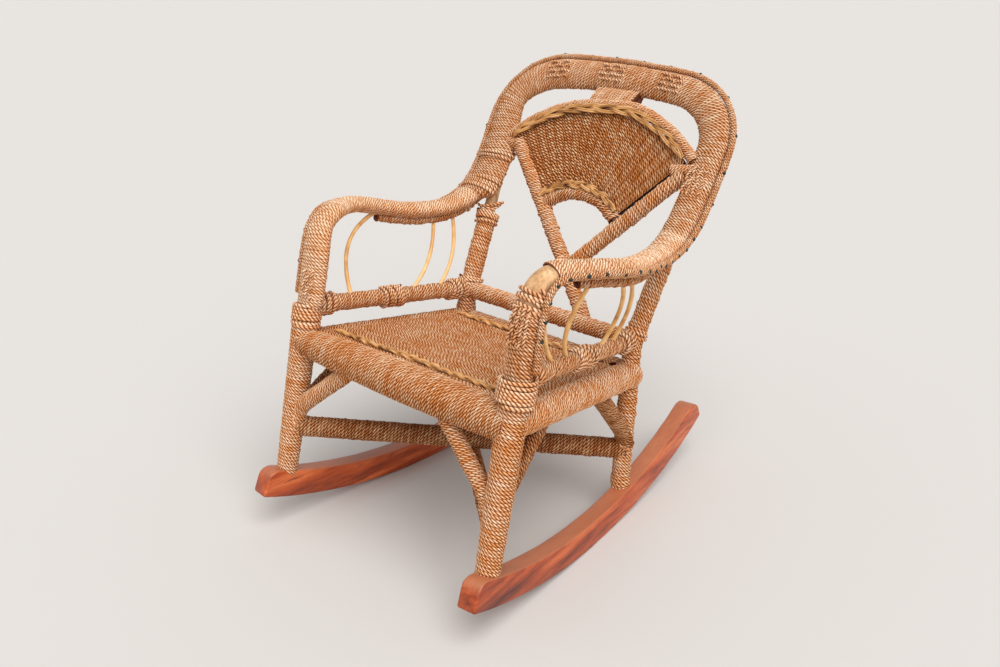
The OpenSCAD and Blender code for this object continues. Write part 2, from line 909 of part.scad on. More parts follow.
rocker(LEFT);  // rocker_left
rocker(RIGHT);  // rocker_right
front_leg_core(LEFT);  // front_leg_left_core
front_leg_core(RIGHT);  // front_leg_right_core
front_leg_wrap(LEFT);  // front_leg_left_wrap
front_leg_wrap(RIGHT);  // front_leg_right_wrap
rear_post_core(LEFT);  // rear_post_left_core
rear_post_core(RIGHT);  // rear_post_right_core
rear_post_wrap(LEFT);  // rear_post_left_wrap
rear_post_wrap(RIGHT);  // rear_post_right_wrap
front_rail_core();
front_rail_wrap();
side_rail_core(LEFT);  // side_rail_left_core
side_rail_core(RIGHT);  // side_rail_right_core
side_rail_wrap(LEFT);  // side_rail_left_wrap
side_rail_wrap(RIGHT);  // side_rail_right_wrap
seat_back_rail_core();
seat_back_rail_wrap();
seat_weave();
seat_braid_front();
seat_braid_back();
stretcher_core(LEFT, 0);  // stretcher_upper_core
stretcher_wrap(LEFT, 0);  // stretcher_upper_wrap
stretcher_core(RIGHT, stretcher_drop);  // stretcher_lower_core
stretcher_wrap(RIGHT, stretcher_drop);  // stretcher_lower_wrap
corner_brace_cores();
corner_brace_wraps();
arm_rail_core(LEFT);  // arm_rail_left_core
arm_rail_core(RIGHT);  // arm_rail_right_core
arm_rail_wrap(LEFT);  // arm_rail_left_wrap
arm_rail_wrap(RIGHT);  // arm_rail_right_wrap
back_rail_core();
back_rail_wrap();
hoop_core();
hoop_wrap(0);  // hoop_wrap_left_arm
hoop_wrap(1);  // hoop_wrap_back
hoop_wrap(2);  // hoop_wrap_right_arm
post_wrap_right();
hoop_edge_cord();
edge_tacks();
post_binding(LEFT);  // post_binding_left
post_binding(RIGHT);  // post_binding_right
under_arm_rail(LEFT);  // under_arm_rail_left
under_arm_rail(RIGHT);  // under_arm_rail_right
cane_row(LEFT, canes_left);  // side_canes_left
cane_row(RIGHT, canes_right);  // side_canes_right
fan_pole_rising_left();
fan_pole_rising_right();
fan_pole_wraps();
fan_crossing_lashing();
fan_arch_core();
fan_arch_wrap();
fan_inner_arch_core();
fan_inner_arch_wrap();
fan_stakes();
fan_weave();
fan_braid_top();
fan_braid_bottom();
fan_neck();
fan_side_ties();
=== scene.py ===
import json
import math

import bpy
import numpy as np
from mathutils import Matrix, Vector


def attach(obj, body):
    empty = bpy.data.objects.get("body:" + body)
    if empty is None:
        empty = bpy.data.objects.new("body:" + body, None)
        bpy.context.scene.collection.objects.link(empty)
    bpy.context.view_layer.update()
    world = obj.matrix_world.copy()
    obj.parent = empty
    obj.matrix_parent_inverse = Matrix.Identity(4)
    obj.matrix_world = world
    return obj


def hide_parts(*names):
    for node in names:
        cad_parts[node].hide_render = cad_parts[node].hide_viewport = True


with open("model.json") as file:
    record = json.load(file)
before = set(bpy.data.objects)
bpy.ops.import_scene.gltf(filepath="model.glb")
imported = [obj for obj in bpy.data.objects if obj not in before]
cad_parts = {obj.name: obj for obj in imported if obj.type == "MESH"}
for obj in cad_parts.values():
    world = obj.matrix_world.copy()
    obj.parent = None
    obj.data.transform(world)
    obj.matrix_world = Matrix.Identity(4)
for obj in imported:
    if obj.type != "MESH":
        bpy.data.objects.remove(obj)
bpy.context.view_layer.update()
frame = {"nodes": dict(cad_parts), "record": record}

MM = 0.001
LEFT, RIGHT = -1, 1
SIDES = ((LEFT, "left"), (RIGHT, "right"))

# ---- The chair's skeleton, in millimetres, as the CAD model has it ----

FRONT_FOOT = np.array([175, -211, 66.0])
FRONT_HEAD = np.array([172, -159.6, 262])
REAR_FOOT = np.array([149, 80, 38.3])
REAR_KNEE = np.array([141, 100, 229.0])
REAR_HEAD = np.array([151, 180, 372.0])
SEAT_FRONT_Z, SEAT_BACK_Z = 235, 194
ARM_RAIL_FRONT_Z, ARM_RAIL_BACK_Z, BACK_RAIL_Z = 279, 232, 230
ROCKER_R, ROCKER_DEPTH, ROCKER_THICK = 642, 33, 25
ROCKER_OFFSET, ROCKER_SPLAY, TIP_GROW, RIGHT_ROCKER_OUT = 156, 5.2, 2.5, 1.0
ROCKER_FRONT, ROCKER_REAR = 23, 25
HOOP_THICK, BACK_W, ARM_W = 21.5, 41, 35
EDGE_CORD_D = 8.5
BACK_LEAN, FAN_LEAN = 34.6, 25.3
FAN_CENTRE = np.array([0, 142, 300.0])
FAN_R, FAN_INNER_R, FAN_TUBE_R, FAN_HALF, FAN_SPREAD, FAN_POLE_R = 208, 89, 8, 44.5, 5.5, 10.3
POLE_LEFT = ((-129, -1, 142), (54, 6, -74))
POLE_RIGHT = ((142, 1, 135.5), (-38, -13, -75))

# Route of the hoop's axis on the right: x, y, z, tilt of the band's face, width.
HOOP_HALF = [
    (172, -159.5, 262.6, 15, ARM_W), (171.5, -152, 290, 15, ARM_W), (171, -144, 320, 15, ARM_W),
    (171, -136, 346, 22, ARM_W), (173, -122, 368, 50, ARM_W), (178, -102, 380, 78, ARM_W),
    (190, -78, 382.5, 92, ARM_W), (200, -50, 379, 96, ARM_W), (202, -20, 372, 99, ARM_W),
    (196, 10, 364, 99, ARM_W), (186, 42, 357, 96, ARM_W), (178, 76, 352, 89, ARM_W),
    (172, 108, 352.5, 78, ARM_W + 2), (168, 138, 361, 64, BACK_W - 2), (166, 163, 377.5, 50, BACK_W),
    (166.5, 183, 399, 39, BACK_W)]
HOOP_HALF += [(x, y, z, BACK_LEAN, BACK_W) for x, y, z in (
    (168, 200.5, 422), (170, 217, 446), (169.5, 231.5, 467), (163, 243.2, 484), (150, 253.5, 499),
    (131, 261, 510), (106, 265.3, 516.3), (72, 266.6, 518), (36, 266.6, 518), (0, 266.6, 518))]
# How the hoop sits on each side: in towards the middle and down at the shoulder, sliding down
# along the back's lean, swelling at the arm's front bend, and rising along the arm.
SIT = {LEFT: (-2.4, 0, -1.8, 3.0, 2.0), RIGHT: (10.5, 6, 5.0, 6.5, 0)}


# ---- Numbers that vary smoothly, always the same from run to run ----

def wave(x, seed):
    """Smooth noise between -1 and 1 along x."""
    table = np.random.default_rng(seed).uniform(-1, 1, 509)
    i = np.floor(x).astype(int)
    f = x - i
    f = f * f * (3 - 2 * f)
    return table[i % 509] * (1 - f) + table[(i + 1) % 509] * f


def wave2(x, y, seed):
    """Smooth noise between -1 and 1 over a surface."""
    table = np.random.default_rng(seed).uniform(-1, 1, (127, 127))
    i, j = np.floor(x).astype(int), np.floor(y).astype(int)
    f, g = x - i, y - j
    f, g = f * f * (3 - 2 * f), g * g * (3 - 2 * g)
    a = table[i % 127, j % 127] * (1 - f) + table[(i + 1) % 127, j % 127] * f
    b = table[i % 127, (j + 1) % 127] * (1 - f) + table[(i + 1) % 127, (j + 1) % 127] * f
    return a * (1 - g) + b * g


def unit(v):
    v = np.asarray(v, float)
    return v / np.linalg.norm(v, axis=-1, keepdims=True)


def side(p, s):
    return np.array([s * p[0], p[1], p[2]], float)


def at_height(a, b, z):
    return a + (b - a) * ((z - a[2]) / (b[2] - a[2]))


def mix(a, b, t):
    return np.asarray(a, float) + (np.asarray(b, float) - np.asarray(a, float)) * t


def distance_along(c):
    """How far each point of a line is from its start."""
    return np.concatenate([[0], np.cumsum(np.linalg.norm(np.diff(c, axis=0), axis=1))])


def tangents(c):
    return unit(np.gradient(c, axis=0))


def rings_about(c, u, v, a, b, angle):
    """Rings of points round a line, with radius a along u and b along v."""
    return (c[:, None, :] + u[:, None, :] * (a * np.cos(angle))[..., None]
            + v[:, None, :] * (b * np.sin(angle))[..., None])


def curve_between(a, b, c, d, f):
    """A smooth curve's point at share f from b to c, with a before and d after them."""
    return 0.5 * (2 * b + (c - a) * f + (2 * a - 5 * b + 4 * c - d) * f ** 2
                  + (3 * b - a - 3 * c + d) * f ** 3)


FRONT_SEAT = at_height(FRONT_FOOT, FRONT_HEAD, SEAT_FRONT_Z)
REAR_SEAT = at_height(REAR_FOOT, REAR_KNEE, SEAT_BACK_Z)


def fan(x, y, z):
    """A point of the fan's plane: x across, y to the back, z up the panel."""
    c, s = math.cos(math.radians(FAN_LEAN)), math.sin(math.radians(FAN_LEAN))
    x, y, z = np.broadcast_arrays(np.asarray(x, float), y, z)
    return np.stack([x, y * c + z * s, -y * s + z * c], -1) + FAN_CENTRE


FAN_FRONT = fan(0, -1, 0) - fan(0, 0, 0)
SEAT_RISE = math.atan2(FRONT_SEAT[2] - REAR_SEAT[2], REAR_SEAT[1] - FRONT_SEAT[1])
SEAT_RUN = math.hypot(REAR_SEAT[1] - FRONT_SEAT[1], FRONT_SEAT[2] - REAR_SEAT[2])


def seat(x, y, z):
    """A point of the seat's plane: x across, y from the front rail back, z up from it."""
    c, s = math.cos(SEAT_RISE), math.sin(SEAT_RISE)
    x, y, z = np.broadcast_arrays(np.asarray(x, float), y, z)
    return np.stack([x, FRONT_SEAT[1] + y * c + z * s, FRONT_SEAT[2] - y * s + z * c], -1)


# ---- Members: a line with a frame and two radii at each of its points ----

TO_VIEWER = (0.6, -0.7, 0.4)


class Member:
    """c: points; u, v: directions across; a, b: radii along u and v; s: distance along."""

    def __init__(self, c, u, v, a, b):
        self.c, self.u, self.v = c, unit(u), unit(v)
        n = len(c)
        self.a, self.b = np.broadcast_to(a, n).astype(float), np.broadcast_to(b, n).astype(float)
        self.s = distance_along(c)
        t = tangents(c)
        self.hand = float(np.sign(np.mean(np.sum(np.cross(self.u, self.v) * t, axis=1))))
        self.length = self.s[-1]

    def at(self, s):
        """Points, directions and radii at the distances s."""
        def pick(x):
            return np.stack([np.interp(s, self.s, x[:, k]) for k in range(3)], -1)
        return (pick(self.c), unit(pick(self.u)), unit(pick(self.v)),
                np.interp(s, self.s, self.a), np.interp(s, self.s, self.b))


def carried(c, hint):
    """Two directions across a line, the second one as near to hint as it can be."""
    t = tangents(c)
    hint = np.broadcast_to(np.asarray(hint, float), c.shape)
    v = unit(hint - t * np.sum(hint * t, axis=1, keepdims=True))
    return np.cross(v, t), v


def straight(p, q, r0, r1=None, face=TO_VIEWER, swell=0):
    """A member from p to q, whose radius runs from r0 to r1 and swells between them."""
    k = np.linspace(0, 1, 25)
    r = r0 + ((r0 if r1 is None else r1) - r0) * k + swell * (1 - (2 * k - 1) ** 2)
    return along(mix(p, q, k[:, None]), r, face)


def rounded(points, blend, step=3.0):
    """A line through points with its corners eased over the distance blend."""
    points = [np.asarray(p, float) for p in points]
    out = [points[0]]
    for a, b, c in zip(points, points[1:], points[2:]):
        p, q = b + unit(a - b) * blend, b + unit(c - b) * blend
        out += [(1 - t) ** 2 * p + 2 * t * (1 - t) * b + t * t * q for t in np.linspace(0, 1, 9)]
    out.append(points[-1])
    return resampled(np.array(out), step)


def resampled(c, step):
    """The same line with its points at even distances of about step."""
    s = distance_along(c)
    n = max(2, int(round(s[-1] / step)) + 1)
    t = np.linspace(0, s[-1], n)
    return np.stack([np.interp(t, s, c[:, k]) for k in range(3)], -1)


def along(c, r, face=TO_VIEWER):
    """A round member along a line; its winding's seam is turned away from face."""
    u, v = carried(c, face)
    return Member(c, u, v, r, r)


def fan_arc(radius, r, half, depth=0.0, spread=0.0):
    """An arc of the fan; spread carries its right-hand side further out."""
    a = np.radians(np.linspace(90 + half, 90 - half, 120))
    radius = radius + spread * np.clip((np.pi / 2 - a) / 0.22, 0, 1)
    c = fan(radius * np.cos(a), depth, radius * np.sin(a))
    out = fan((radius + 1) * np.cos(a), depth, (radius + 1) * np.sin(a)) - c
    return Member(c, out, np.broadcast_to(FAN_FRONT, c.shape), r, r)


# ---- The hoop's line ----

def settled(k, s):
    """One key of the hoop's route as it sits on side s."""
    into, down, slide, bend, rise = SIT[s]
    x, y, z, tilt, width = k
    shoulder = max(0, z - 380) / 138 * x / 170
    pushed = bend * math.exp(-((y + 112) / 26) ** 2)
    if z < 400:
        pushed_up = rise * (math.exp(-((y + 60) / 45) ** 2) - 0.7 * math.exp(-((y - 40) / 35) ** 2))
    else:
        pushed_up = 0
    lean = math.radians(BACK_LEAN)
    return (s * (x - into * shoulder), y - pushed - slide * shoulder * math.sin(lean),
            z - (down + slide * math.cos(lean)) * shoulder + pushed + pushed_up, tilt, width)


HOOP_KEYS = np.array([settled(k, LEFT) for k in HOOP_HALF]
                     + [settled(k, RIGHT) for k in HOOP_HALF[-2::-1]], float)
LAST = len(HOOP_KEYS) - 1


def spline(t):
    t = np.asarray(t, float)
    i = np.clip(np.floor(t).astype(int), 0, LAST - 1)
    f = (t - i)[..., None]
    a, b = HOOP_KEYS[np.maximum(i - 1, 0)], HOOP_KEYS[i]
    c, d = HOOP_KEYS[i + 1], HOOP_KEYS[np.minimum(i + 2, LAST)]
    return curve_between(a, b, c, d, f)


def hoop_frame(t):
    """The hoop's point, its inward and outward-facing directions and its width at key number t."""
    k = spline(t)
    tangent = unit(spline(np.minimum(t + 0.1, LAST))[..., :3] - spline(np.maximum(t - 0.1, 0))[..., :3])
    tilt = np.radians(k[..., 3])
    inward = unit(np.cross(tangent, np.stack([0 * tilt, -np.cos(tilt), np.sin(tilt)], -1)))
    return k[..., :3], inward, np.cross(inward, tangent), k[..., 4]


# ---- Meshes ----

def new_object(name, data):
    o = bpy.data.objects.new(name, data)
    bpy.context.scene.collection.objects.link(o)
    return o


# The material slot of each CAD node.
SLOT = {part["node"]: part["material_slot"] for part in frame["record"]["subparts"]}


class Shell:
    """Grids of points joined into one mesh. look holds a tint, the turns of a cord and a
    stain for each point; lay places each corner on its cord."""

    def __init__(self):
        self.verts, self.look, self.quads, self.lay, self.caps = [], [], [], [], []
        self.count = 0

    def grid(self, p, look=None, lay=None, closed=True, flip=False):
        n, m = p.shape[:2]
        i = np.arange(n - 1)[:, None]
        j = np.arange(m if closed else m - 1)[None, :]
        k = (j + 1) % m
        quads = np.stack([i * m + j, i * m + k, (i + 1) * m + k, (i + 1) * m + j], -1).reshape(-1, 4)
        if lay is None:
            lay = np.zeros((n, m + 1, 3))
        corners = np.stack([lay[i, j], lay[i, j + 1], lay[i + 1, j + 1], lay[i + 1, j]], 2).reshape(-1, 4, 3)
        order = [3, 2, 1, 0] if flip else [0, 1, 2, 3]
        self.quads.append(quads[:, order] + self.count)
        self.lay.append(corners[:, order])
        self.verts.append(p.reshape(-1, 3))
        self.look.append(np.full((n * m, 3), 0.3) if look is None else look.reshape(-1, 3))
        start = self.count
        self.count += n * m
        return start

    def bridge(self, a, b, flip=False):
        """Quads between two closed rings of point numbers."""
        q = np.stack([a, b, np.roll(b, -1), np.roll(a, -1)], -1)
        self.quads.append(q[:, ::-1] if flip else q)
        self.lay.append(np.zeros((len(q), 4, 3)))

    def close(self, start, n, m, flip=False):
        """Closes both ends of a tube of n rings of m points."""
        ends = [start + np.arange(m)[::-1], start + (n - 1) * m + np.arange(m)]
        self.caps += [e[::-1] for e in ends] if flip else ends

    def make(self, name, material, replaced=None):
        """The finished piece. It stands for the CAD node replaced, or the one with its own name,
        and that node's CAD part is hidden."""
        quads = np.concatenate(self.quads)
        caps = [np.asarray(c) for c in self.caps]
        loops = np.concatenate([quads.ravel()] + caps)
        sizes = np.concatenate([np.full(len(quads), 4), [len(c) for c in caps]]).astype(int)
        lay = np.concatenate([np.concatenate(self.lay).reshape(-1, 3), np.zeros((sum(map(len, caps)), 3))])
        verts = np.concatenate(self.verts) * MM
        me = bpy.data.meshes.new(name)
        me.vertices.add(len(verts))
        me.vertices.foreach_set("co", verts.astype(np.float32).ravel())
        me.loops.add(len(loops))
        me.loops.foreach_set("vertex_index", loops.astype(np.int32))
        me.polygons.add(len(sizes))
        me.polygons.foreach_set("loop_start", (np.cumsum(sizes) - sizes).astype(np.int32))
        me.update(calc_edges=True)
        look = np.concatenate([np.concatenate(self.look), np.ones((len(verts), 1))], 1)
        for key, kind, domain, field, values in (("look", "FLOAT_COLOR", "POINT", "color", look),
                                                 ("lay", "FLOAT_VECTOR", "CORNER", "vector", lay)):
            me.attributes.new(key, kind, domain).data.foreach_set(field, values.astype(np.float32).ravel())
        me.materials.append(material)
        o = new_object(name, me)
        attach(o, "root")
        node = replaced or name
        if node in SLOT:
            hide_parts(node)


# Where the cord has darkened with age: centre and radius of each stain.
STAINS = [((-150, 176, 392), 9), ((-149, 190, 410), 8), ((150, 210, 424), 9), ((176, -146, 268), 6),
          ((168, -140, 330), 6), ((179, -150, 300), 5), ((165, 190, 400), 7), ((-172, -150, 300), 6),
          ((-60, 262, 512), 5), ((52, 262, 508), 5)]


def stain_at(p):
    """How stained the cord is at each point, from 0 to 1."""
    out = np.zeros(p.shape[:-1])
    for centre, radius in STAINS:
        d = np.linalg.norm(p - np.asarray(centre, float), axis=-1) / radius
        out = np.maximum(out, np.clip(1.6 - 1.6 * d, 0, 1))
    return out


# Across a cord, from one edge to the other, its twist runs on by this many ridges.
SLANT = 1.25


def cord_height(psi, across, pitch):
    """Height of two-strand cord: psi counts its ridges, across runs from -0.5 to 0.5."""
    ridge = np.abs(np.cos(np.pi * psi))
    dome = np.sqrt(np.clip(1 - 3.6 * across * across, 0.02, 1))
    return pitch * (0.34 * (dome - 1) - 0.3 * (1 - ridge) ** 1.2 * (0.4 + 0.6 * dome))


# Rows of points along a member for each turn of the cord wound on it.
ROWS_PER_TURN = 5.2


def wound(name, m, material, pitch=4.4, ply=5.2, seed=1, wall=4.0, loose=1.0, round_step=1.25,
          replaced=None):
    """Twisted cord wound side by side round a member, as one closed sleeve of that relief.
    pitch is the cord's width, ply the run of one strand's ridge and loose how uneven it lies."""
    n = max(8, int(round(m.length / pitch * ROWS_PER_TURN)))
    S = np.linspace(0, m.length, n)[:, None]
    c, u, v, a, b = m.at(S[:, 0])
    ra, rb = float(np.mean(a)), float(np.mean(b))
    fine = np.linspace(-np.pi / 2, 1.5 * np.pi, 721)
    arc = np.concatenate([[0], np.cumsum(np.hypot(np.diff(ra * np.cos(fine)), np.diff(rb * np.sin(fine))))])
    k = max(14, int(round(arc[-1] / round_step)))
    share = np.arange(k + 1)[None, :] / k
    angle = np.interp(share * arc[-1], arc, fine)
    ca, sa = np.cos(angle), np.sin(angle)
    phase = S / pitch + share + loose * (0.22 * wave(S / 33, seed + 11) + 0.2 * wave(S / 19, seed + 12) * ca
                                         + 0.2 * wave(S / 23, seed + 13) * sa)
    turn = np.floor(phase)
    across = phase - turn - 0.5
    base, turns = m.hand * share * arc[-1] / ply, m.hand * arc[-1] / ply
    length = (share - turn) * arc[-1]
    wobble = 0.45 * wave(length / 29, seed + 1) + 0.3 * wave(turn * 0.77, seed + 5)
    psi = base - turn * turns + SLANT * across + wobble
    height = cord_height(psi, across, pitch)
    proud = np.clip(wave(length / 33, seed + 16) - 0.45, 0, 1)
    lift = loose * (0.3 * wave(length / 17, seed + 14) + 1.1 * proud
                    + 0.22 * wave(turn * 1.7 + 0.3, seed + 17))
    height = height + lift + 0.22 * np.abs(loose) * wave(psi * 0.83, seed + 18)
    tint = 0.5 + 0.2 * wave(length / 57, seed + 3) + 0.18 * wave(psi * 0.9 + turn * 7.1, seed + 4) \
        + 0.12 * wave2(S / 21 + 0 * ca, 3 * ca + 7, seed + 15)
    A, B = a[:, None], b[:, None]
    normal = unit(u[:, None, :] * (ca / A)[..., None] + v[:, None, :] * (sa / B)[..., None])
    skin = (rings_about(c, u, v, A, B, angle) + normal * height[..., None])[:, :k]
    look = np.stack([tint[:, :k], np.full((n, k), turns / 100), stain_at(skin)], -1)
    lay = np.stack([phase, base + 0 * phase, wobble], -1)
    n2 = max(2, int(m.length / 7) + 1)
    c2, u2, v2, a2, b2 = m.at(np.linspace(0, m.length, n2))
    a2, b2 = (np.maximum(r - wall, 0.4)[:, None] for r in (a2, b2))
    inner = rings_about(c2, u2, v2, a2, b2, angle[:, :k])
    shell = Shell()
    flip = m.hand < 0
    outside = shell.grid(skin, look, lay, flip=flip)
    inside = shell.grid(inner, flip=not flip)
    j = np.arange(k)
    shell.bridge(outside + j, inside + j, flip=flip)
    shell.bridge(outside + (n - 1) * k + j, inside + (n2 - 1) * k + j, flip=not flip)
    shell.make(name, material, replaced)


def plain_pole(name, m, thinner, material, replaced=None, step=6.0, around=32):
    """The pole inside a winding, or bare between two: smooth, closed, with softened ends."""
    rings = max(8, int(m.length / step))
    S = np.linspace(0, m.length, rings)
    c, u, v, a, b = m.at(S)
    soft = np.minimum(1, np.minimum(S, m.length - S) / 3 + 0.75)
    a, b = ((np.maximum(r - thinner, 2) * soft)[:, None] for r in (a, b))
    q = np.linspace(0, 2 * np.pi, around, endpoint=False)[None, :]
    swell = 1 + 0.015 * np.sin(3 * q + S[:, None] / 9)
    shell = Shell()
    shell.grid(rings_about(c, u, v, a * swell, b * swell, q), flip=m.hand < 0)
    shell.close(0, rings, around, m.hand < 0)
    shell.make(name, material, replaced)


def bound(name, m, thinner, material, *winding, **more):
    """A member's pole and the cord wound on it."""
    plain_pole(f"{name}_core", m, thinner, POLE)
    wound(f"{name}_wrap", m, material, *winding, **more)


def strands(name, lines, r, material, seed=5, sides=8, ply=None, step=1.2, shades=None):
    """Separate strands along lines: twisted two-strand cord where ply is given, else cane.
    shades darkens a strand with painted shade where it dips under the others, and lightens it a little with
    painted light where it rides over them."""
    shell = Shell()
    for i, line in enumerate(lines):
        c = resampled(np.asarray(line, float), step)
        share = np.linspace(0, 1, len(c))[:, None]
        t = tangents(c)
        u = np.zeros_like(c)
        x = unit(np.cross(t[0], (0.3, 0.2, 0.93)))
        for q in range(len(c)):
            x = x - t[q] * np.dot(x, t[q])
            x = x / np.linalg.norm(x)
            u[q] = x
        v = np.cross(t, u)
        S = distance_along(c)[:, None]
        angle = 2 * np.pi * np.arange(sides + 1)[None, :] / sides
        if ply:
            psi = S / ply - angle / np.pi + i * 0.37
            scale = 0.74 + 0.26 * np.abs(np.cos(np.pi * psi)) + 0.05 * wave(S / 9, seed + i)
            lay = np.stack([np.full(psi.shape, 0.5), psi, 0 * psi], -1)
        else:
            scale = 1 + 0.07 * wave(S / 9 + i * 31, seed + i) + 0 * angle
            lay = np.stack([S + 0 * angle, r * angle + 0 * S, 7.0 * i + 0 * scale], -1)
        p = rings_about(c, u, v, r * scale[:, :sides], r * scale[:, :sides], angle[:, :sides])
        n = len(c)
        tint = 0.5 + 0.25 * wave(S / 38 + 17 * i, seed + 3) + 0.15 * wave(S / 6 + 9 * i, seed + 4) + 0 * angle
        if shades is not None:
            tint = tint + np.interp(share, np.linspace(0, 1, len(shades[i])), shades[i])
        look = np.stack([tint[:, :sides], np.zeros((n, sides)), 0.8 * stain_at(p)], -1)
        shell.close(shell.grid(p, look, lay), n, sides)
    shell.make(name, material)


# How far each woven row's twist is shifted from the last row's, in millimetres of cord.
ROW_SHIFT = -13.37


def woven(name, surface, normal, p, q, column, row, bulge, thick, material, seed, ply=5.2,
          length_of=None, brick=0.0, shade=0.16, replaced=None):
    """A woven panel: rows of twisted cord, each row wide, that go round stakes one column apart.
    surface(p, q) is the face and normal its outward direction; the back is woven too. At each
    stake the cord dips by bulge; brick shifts every other stake's rows."""
    P, Q = np.meshgrid(p, q, indexing="xy")
    length = P if length_of is None else length_of(P, Q)
    col = column(P, Q)
    shell = Shell()
    starts = []
    for back in (0, 1):
        stake = col if not back else col + 0.5
        f = stake - np.floor(stake) - 0.5
        step_up = np.floor(stake) + np.clip((np.abs(f) - 0.38) / 0.24, 0, 0.5) * np.sign(f)
        phase = Q / row + brick * step_up + 0.25 * wave2(P / 37 + 50, Q / 29 + 50, seed + 5 + back)
        line = np.floor(phase)
        across = phase - line - 0.5
        wobble = 0.4 * wave2(length / 41, line * 0.71, seed + 1 + back) + 0.3 * wave(line * 1.3, seed + 6)
        shift, hand = ROW_SHIFT / ply, 1 - 2 * back
        psi = hand * (length / ply - line * shift) + SLANT * across + wobble
        dip = np.clip(2 * np.abs(f), 0, 1) ** 3
        h = cord_height(psi, across, row) - bulge * dip + 0.3 * wave2(P / 11 + 30, Q / 5 + 30, seed + 9)
        tint = 0.5 - shade * dip + 0.2 * wave2(line * 0.71, np.floor(stake) * 1.37, seed + 8) \
            + 0.16 * wave(psi * 0.9 + line * 7.1, seed + 4)
        base = surface(P, Q)
        point = base + h[..., None] * normal if not back else base - (thick + h)[..., None] * normal
        look = np.stack([tint, np.full(h.shape, hand * shift / 100), stain_at(point)], -1)
        lay = np.stack([phase, hand * length / ply, wobble], -1)
        starts.append(shell.grid(point, look, lay, closed=False, flip=bool(back)))
    n, m = len(q), len(p)
    rim = ([(i, 0) for i in range(n)] + [(n - 1, j) for j in range(1, m)]
           + [(i, m - 1) for i in range(n - 2, -1, -1)] + [(0, j) for j in range(m - 2, 0, -1)])
    ids = np.array([i * m + j for i, j in rim])
    shell.bridge(ids + starts[0], ids + starts[1], flip=True)
    shell.make(name, material, replaced)


# ---- Materials ----

def srgb(*rgb):
    """A colour given as screen values from 0 to 255."""
    return tuple(x / 12.92 if x <= 0.04045 else ((x + 0.055) / 1.055) ** 2.4
                 for x in np.array(rgb) / 255) + (1.0,)


STAIN = srgb(58, 46, 44)


class Nodes:
    """Builds one material's nodes."""

    def __init__(self, name, roughness, specular):
        self.mat = bpy.data.materials.new(name)
        self.mat.use_nodes = True
        self.tree = self.mat.node_tree
        self.bsdf = self.tree.nodes["Principled BSDF"]
        self.bsdf.inputs["Roughness"].default_value = roughness
        self.bsdf.inputs["Specular IOR Level"].default_value = specular

    def node(self, kind, **inputs):
        n = self.tree.nodes.new(kind)
        for key, value in inputs.items():
            if key.startswith("_"):
                setattr(n, key[1:], value)
                continue
            self.put(n.inputs[key.replace("_", " ")], value)
        return n

    def put(self, socket, value):
        if isinstance(value, bpy.types.NodeSocket):
            self.tree.links.new(value, socket)
        else:
            socket.default_value = value

    def math(self, op, a, b=0.0, clamp=False):
        n = self.node("ShaderNodeMath", _operation=op, _use_clamp=clamp)
        self.put(n.inputs[0], a)
        self.put(n.inputs[1], b)
        return n.outputs[0]

    def times(self, a, b, clamp=False):
        return self.math("MULTIPLY", a, b, clamp)

    def above(self, value, level, gain):
        """How far a value is above a level, from 0 to 1."""
        return self.times(self.math("SUBTRACT", value, level), gain, clamp=True)

    def total(self, *terms):
        """Sum of terms; a pair is a value times a number."""
        out = None
        for t in terms:
            x = self.times(*t) if isinstance(t, tuple) else t
            out = x if out is None else self.math("ADD", out, x)
        return out

    def mix(self, factor, a, b, blend="MIX"):
        n = self.node("ShaderNodeMix", _data_type="RGBA", _blend_type=blend)
        self.put(n.inputs[0], factor)
        self.put(n.inputs[6], a)
        self.put(n.inputs[7], b)
        return n.outputs[2]

    def ramp(self, factor, stops):
        n = self.node("ShaderNodeValToRGB", Fac=factor)
        e = n.color_ramp.elements
        while len(e) < len(stops):
            e.new(0.5)
        for item, (at, colour) in zip(e, stops):
            item.position = at
            item.color = colour
        return n.outputs[0]

    def noise(self, vector, scale, detail=3.0, roughness=0.55):
        return self.node("ShaderNodeTexNoise", Vector=vector, Scale=scale, Detail=detail,
                         Roughness=roughness).outputs["Fac"]

    def stretched(self, vector, scale):
        return self.node("ShaderNodeMapping", Vector=vector, Scale=scale).outputs[0]

    def attribute(self, name, output):
        return self.node("ShaderNodeAttribute", _attribute_name=name).outputs[output]

    def place(self):
        return self.node("ShaderNodeTexCoord").outputs["Object"]

    def look(self):
        return self.node("ShaderNodeSeparateColor", Color=self.attribute("look", "Color")).outputs

    def vector(self, x, y, z):
        return self.node("ShaderNodeCombineXYZ", X=x, Y=y, Z=z).outputs[0]

    def facing_up(self):
        normal = self.node("ShaderNodeNewGeometry").outputs["Normal"]
        return self.node("ShaderNodeSeparateXYZ", Vector=normal).outputs[2]

    def done(self, colour, rough=None, height=None, distance=0.0004, strength=0.6):
        self.put(self.bsdf.inputs["Base Color"], colour)
        if rough is not None:
            self.put(self.bsdf.inputs["Roughness"], rough)
        if height is not None:
            bump = self.node("ShaderNodeBump", Height=height, Strength=strength, Distance=distance)
            self.put(self.bsdf.inputs["Normal"], bump.outputs[0])
        return self.mat


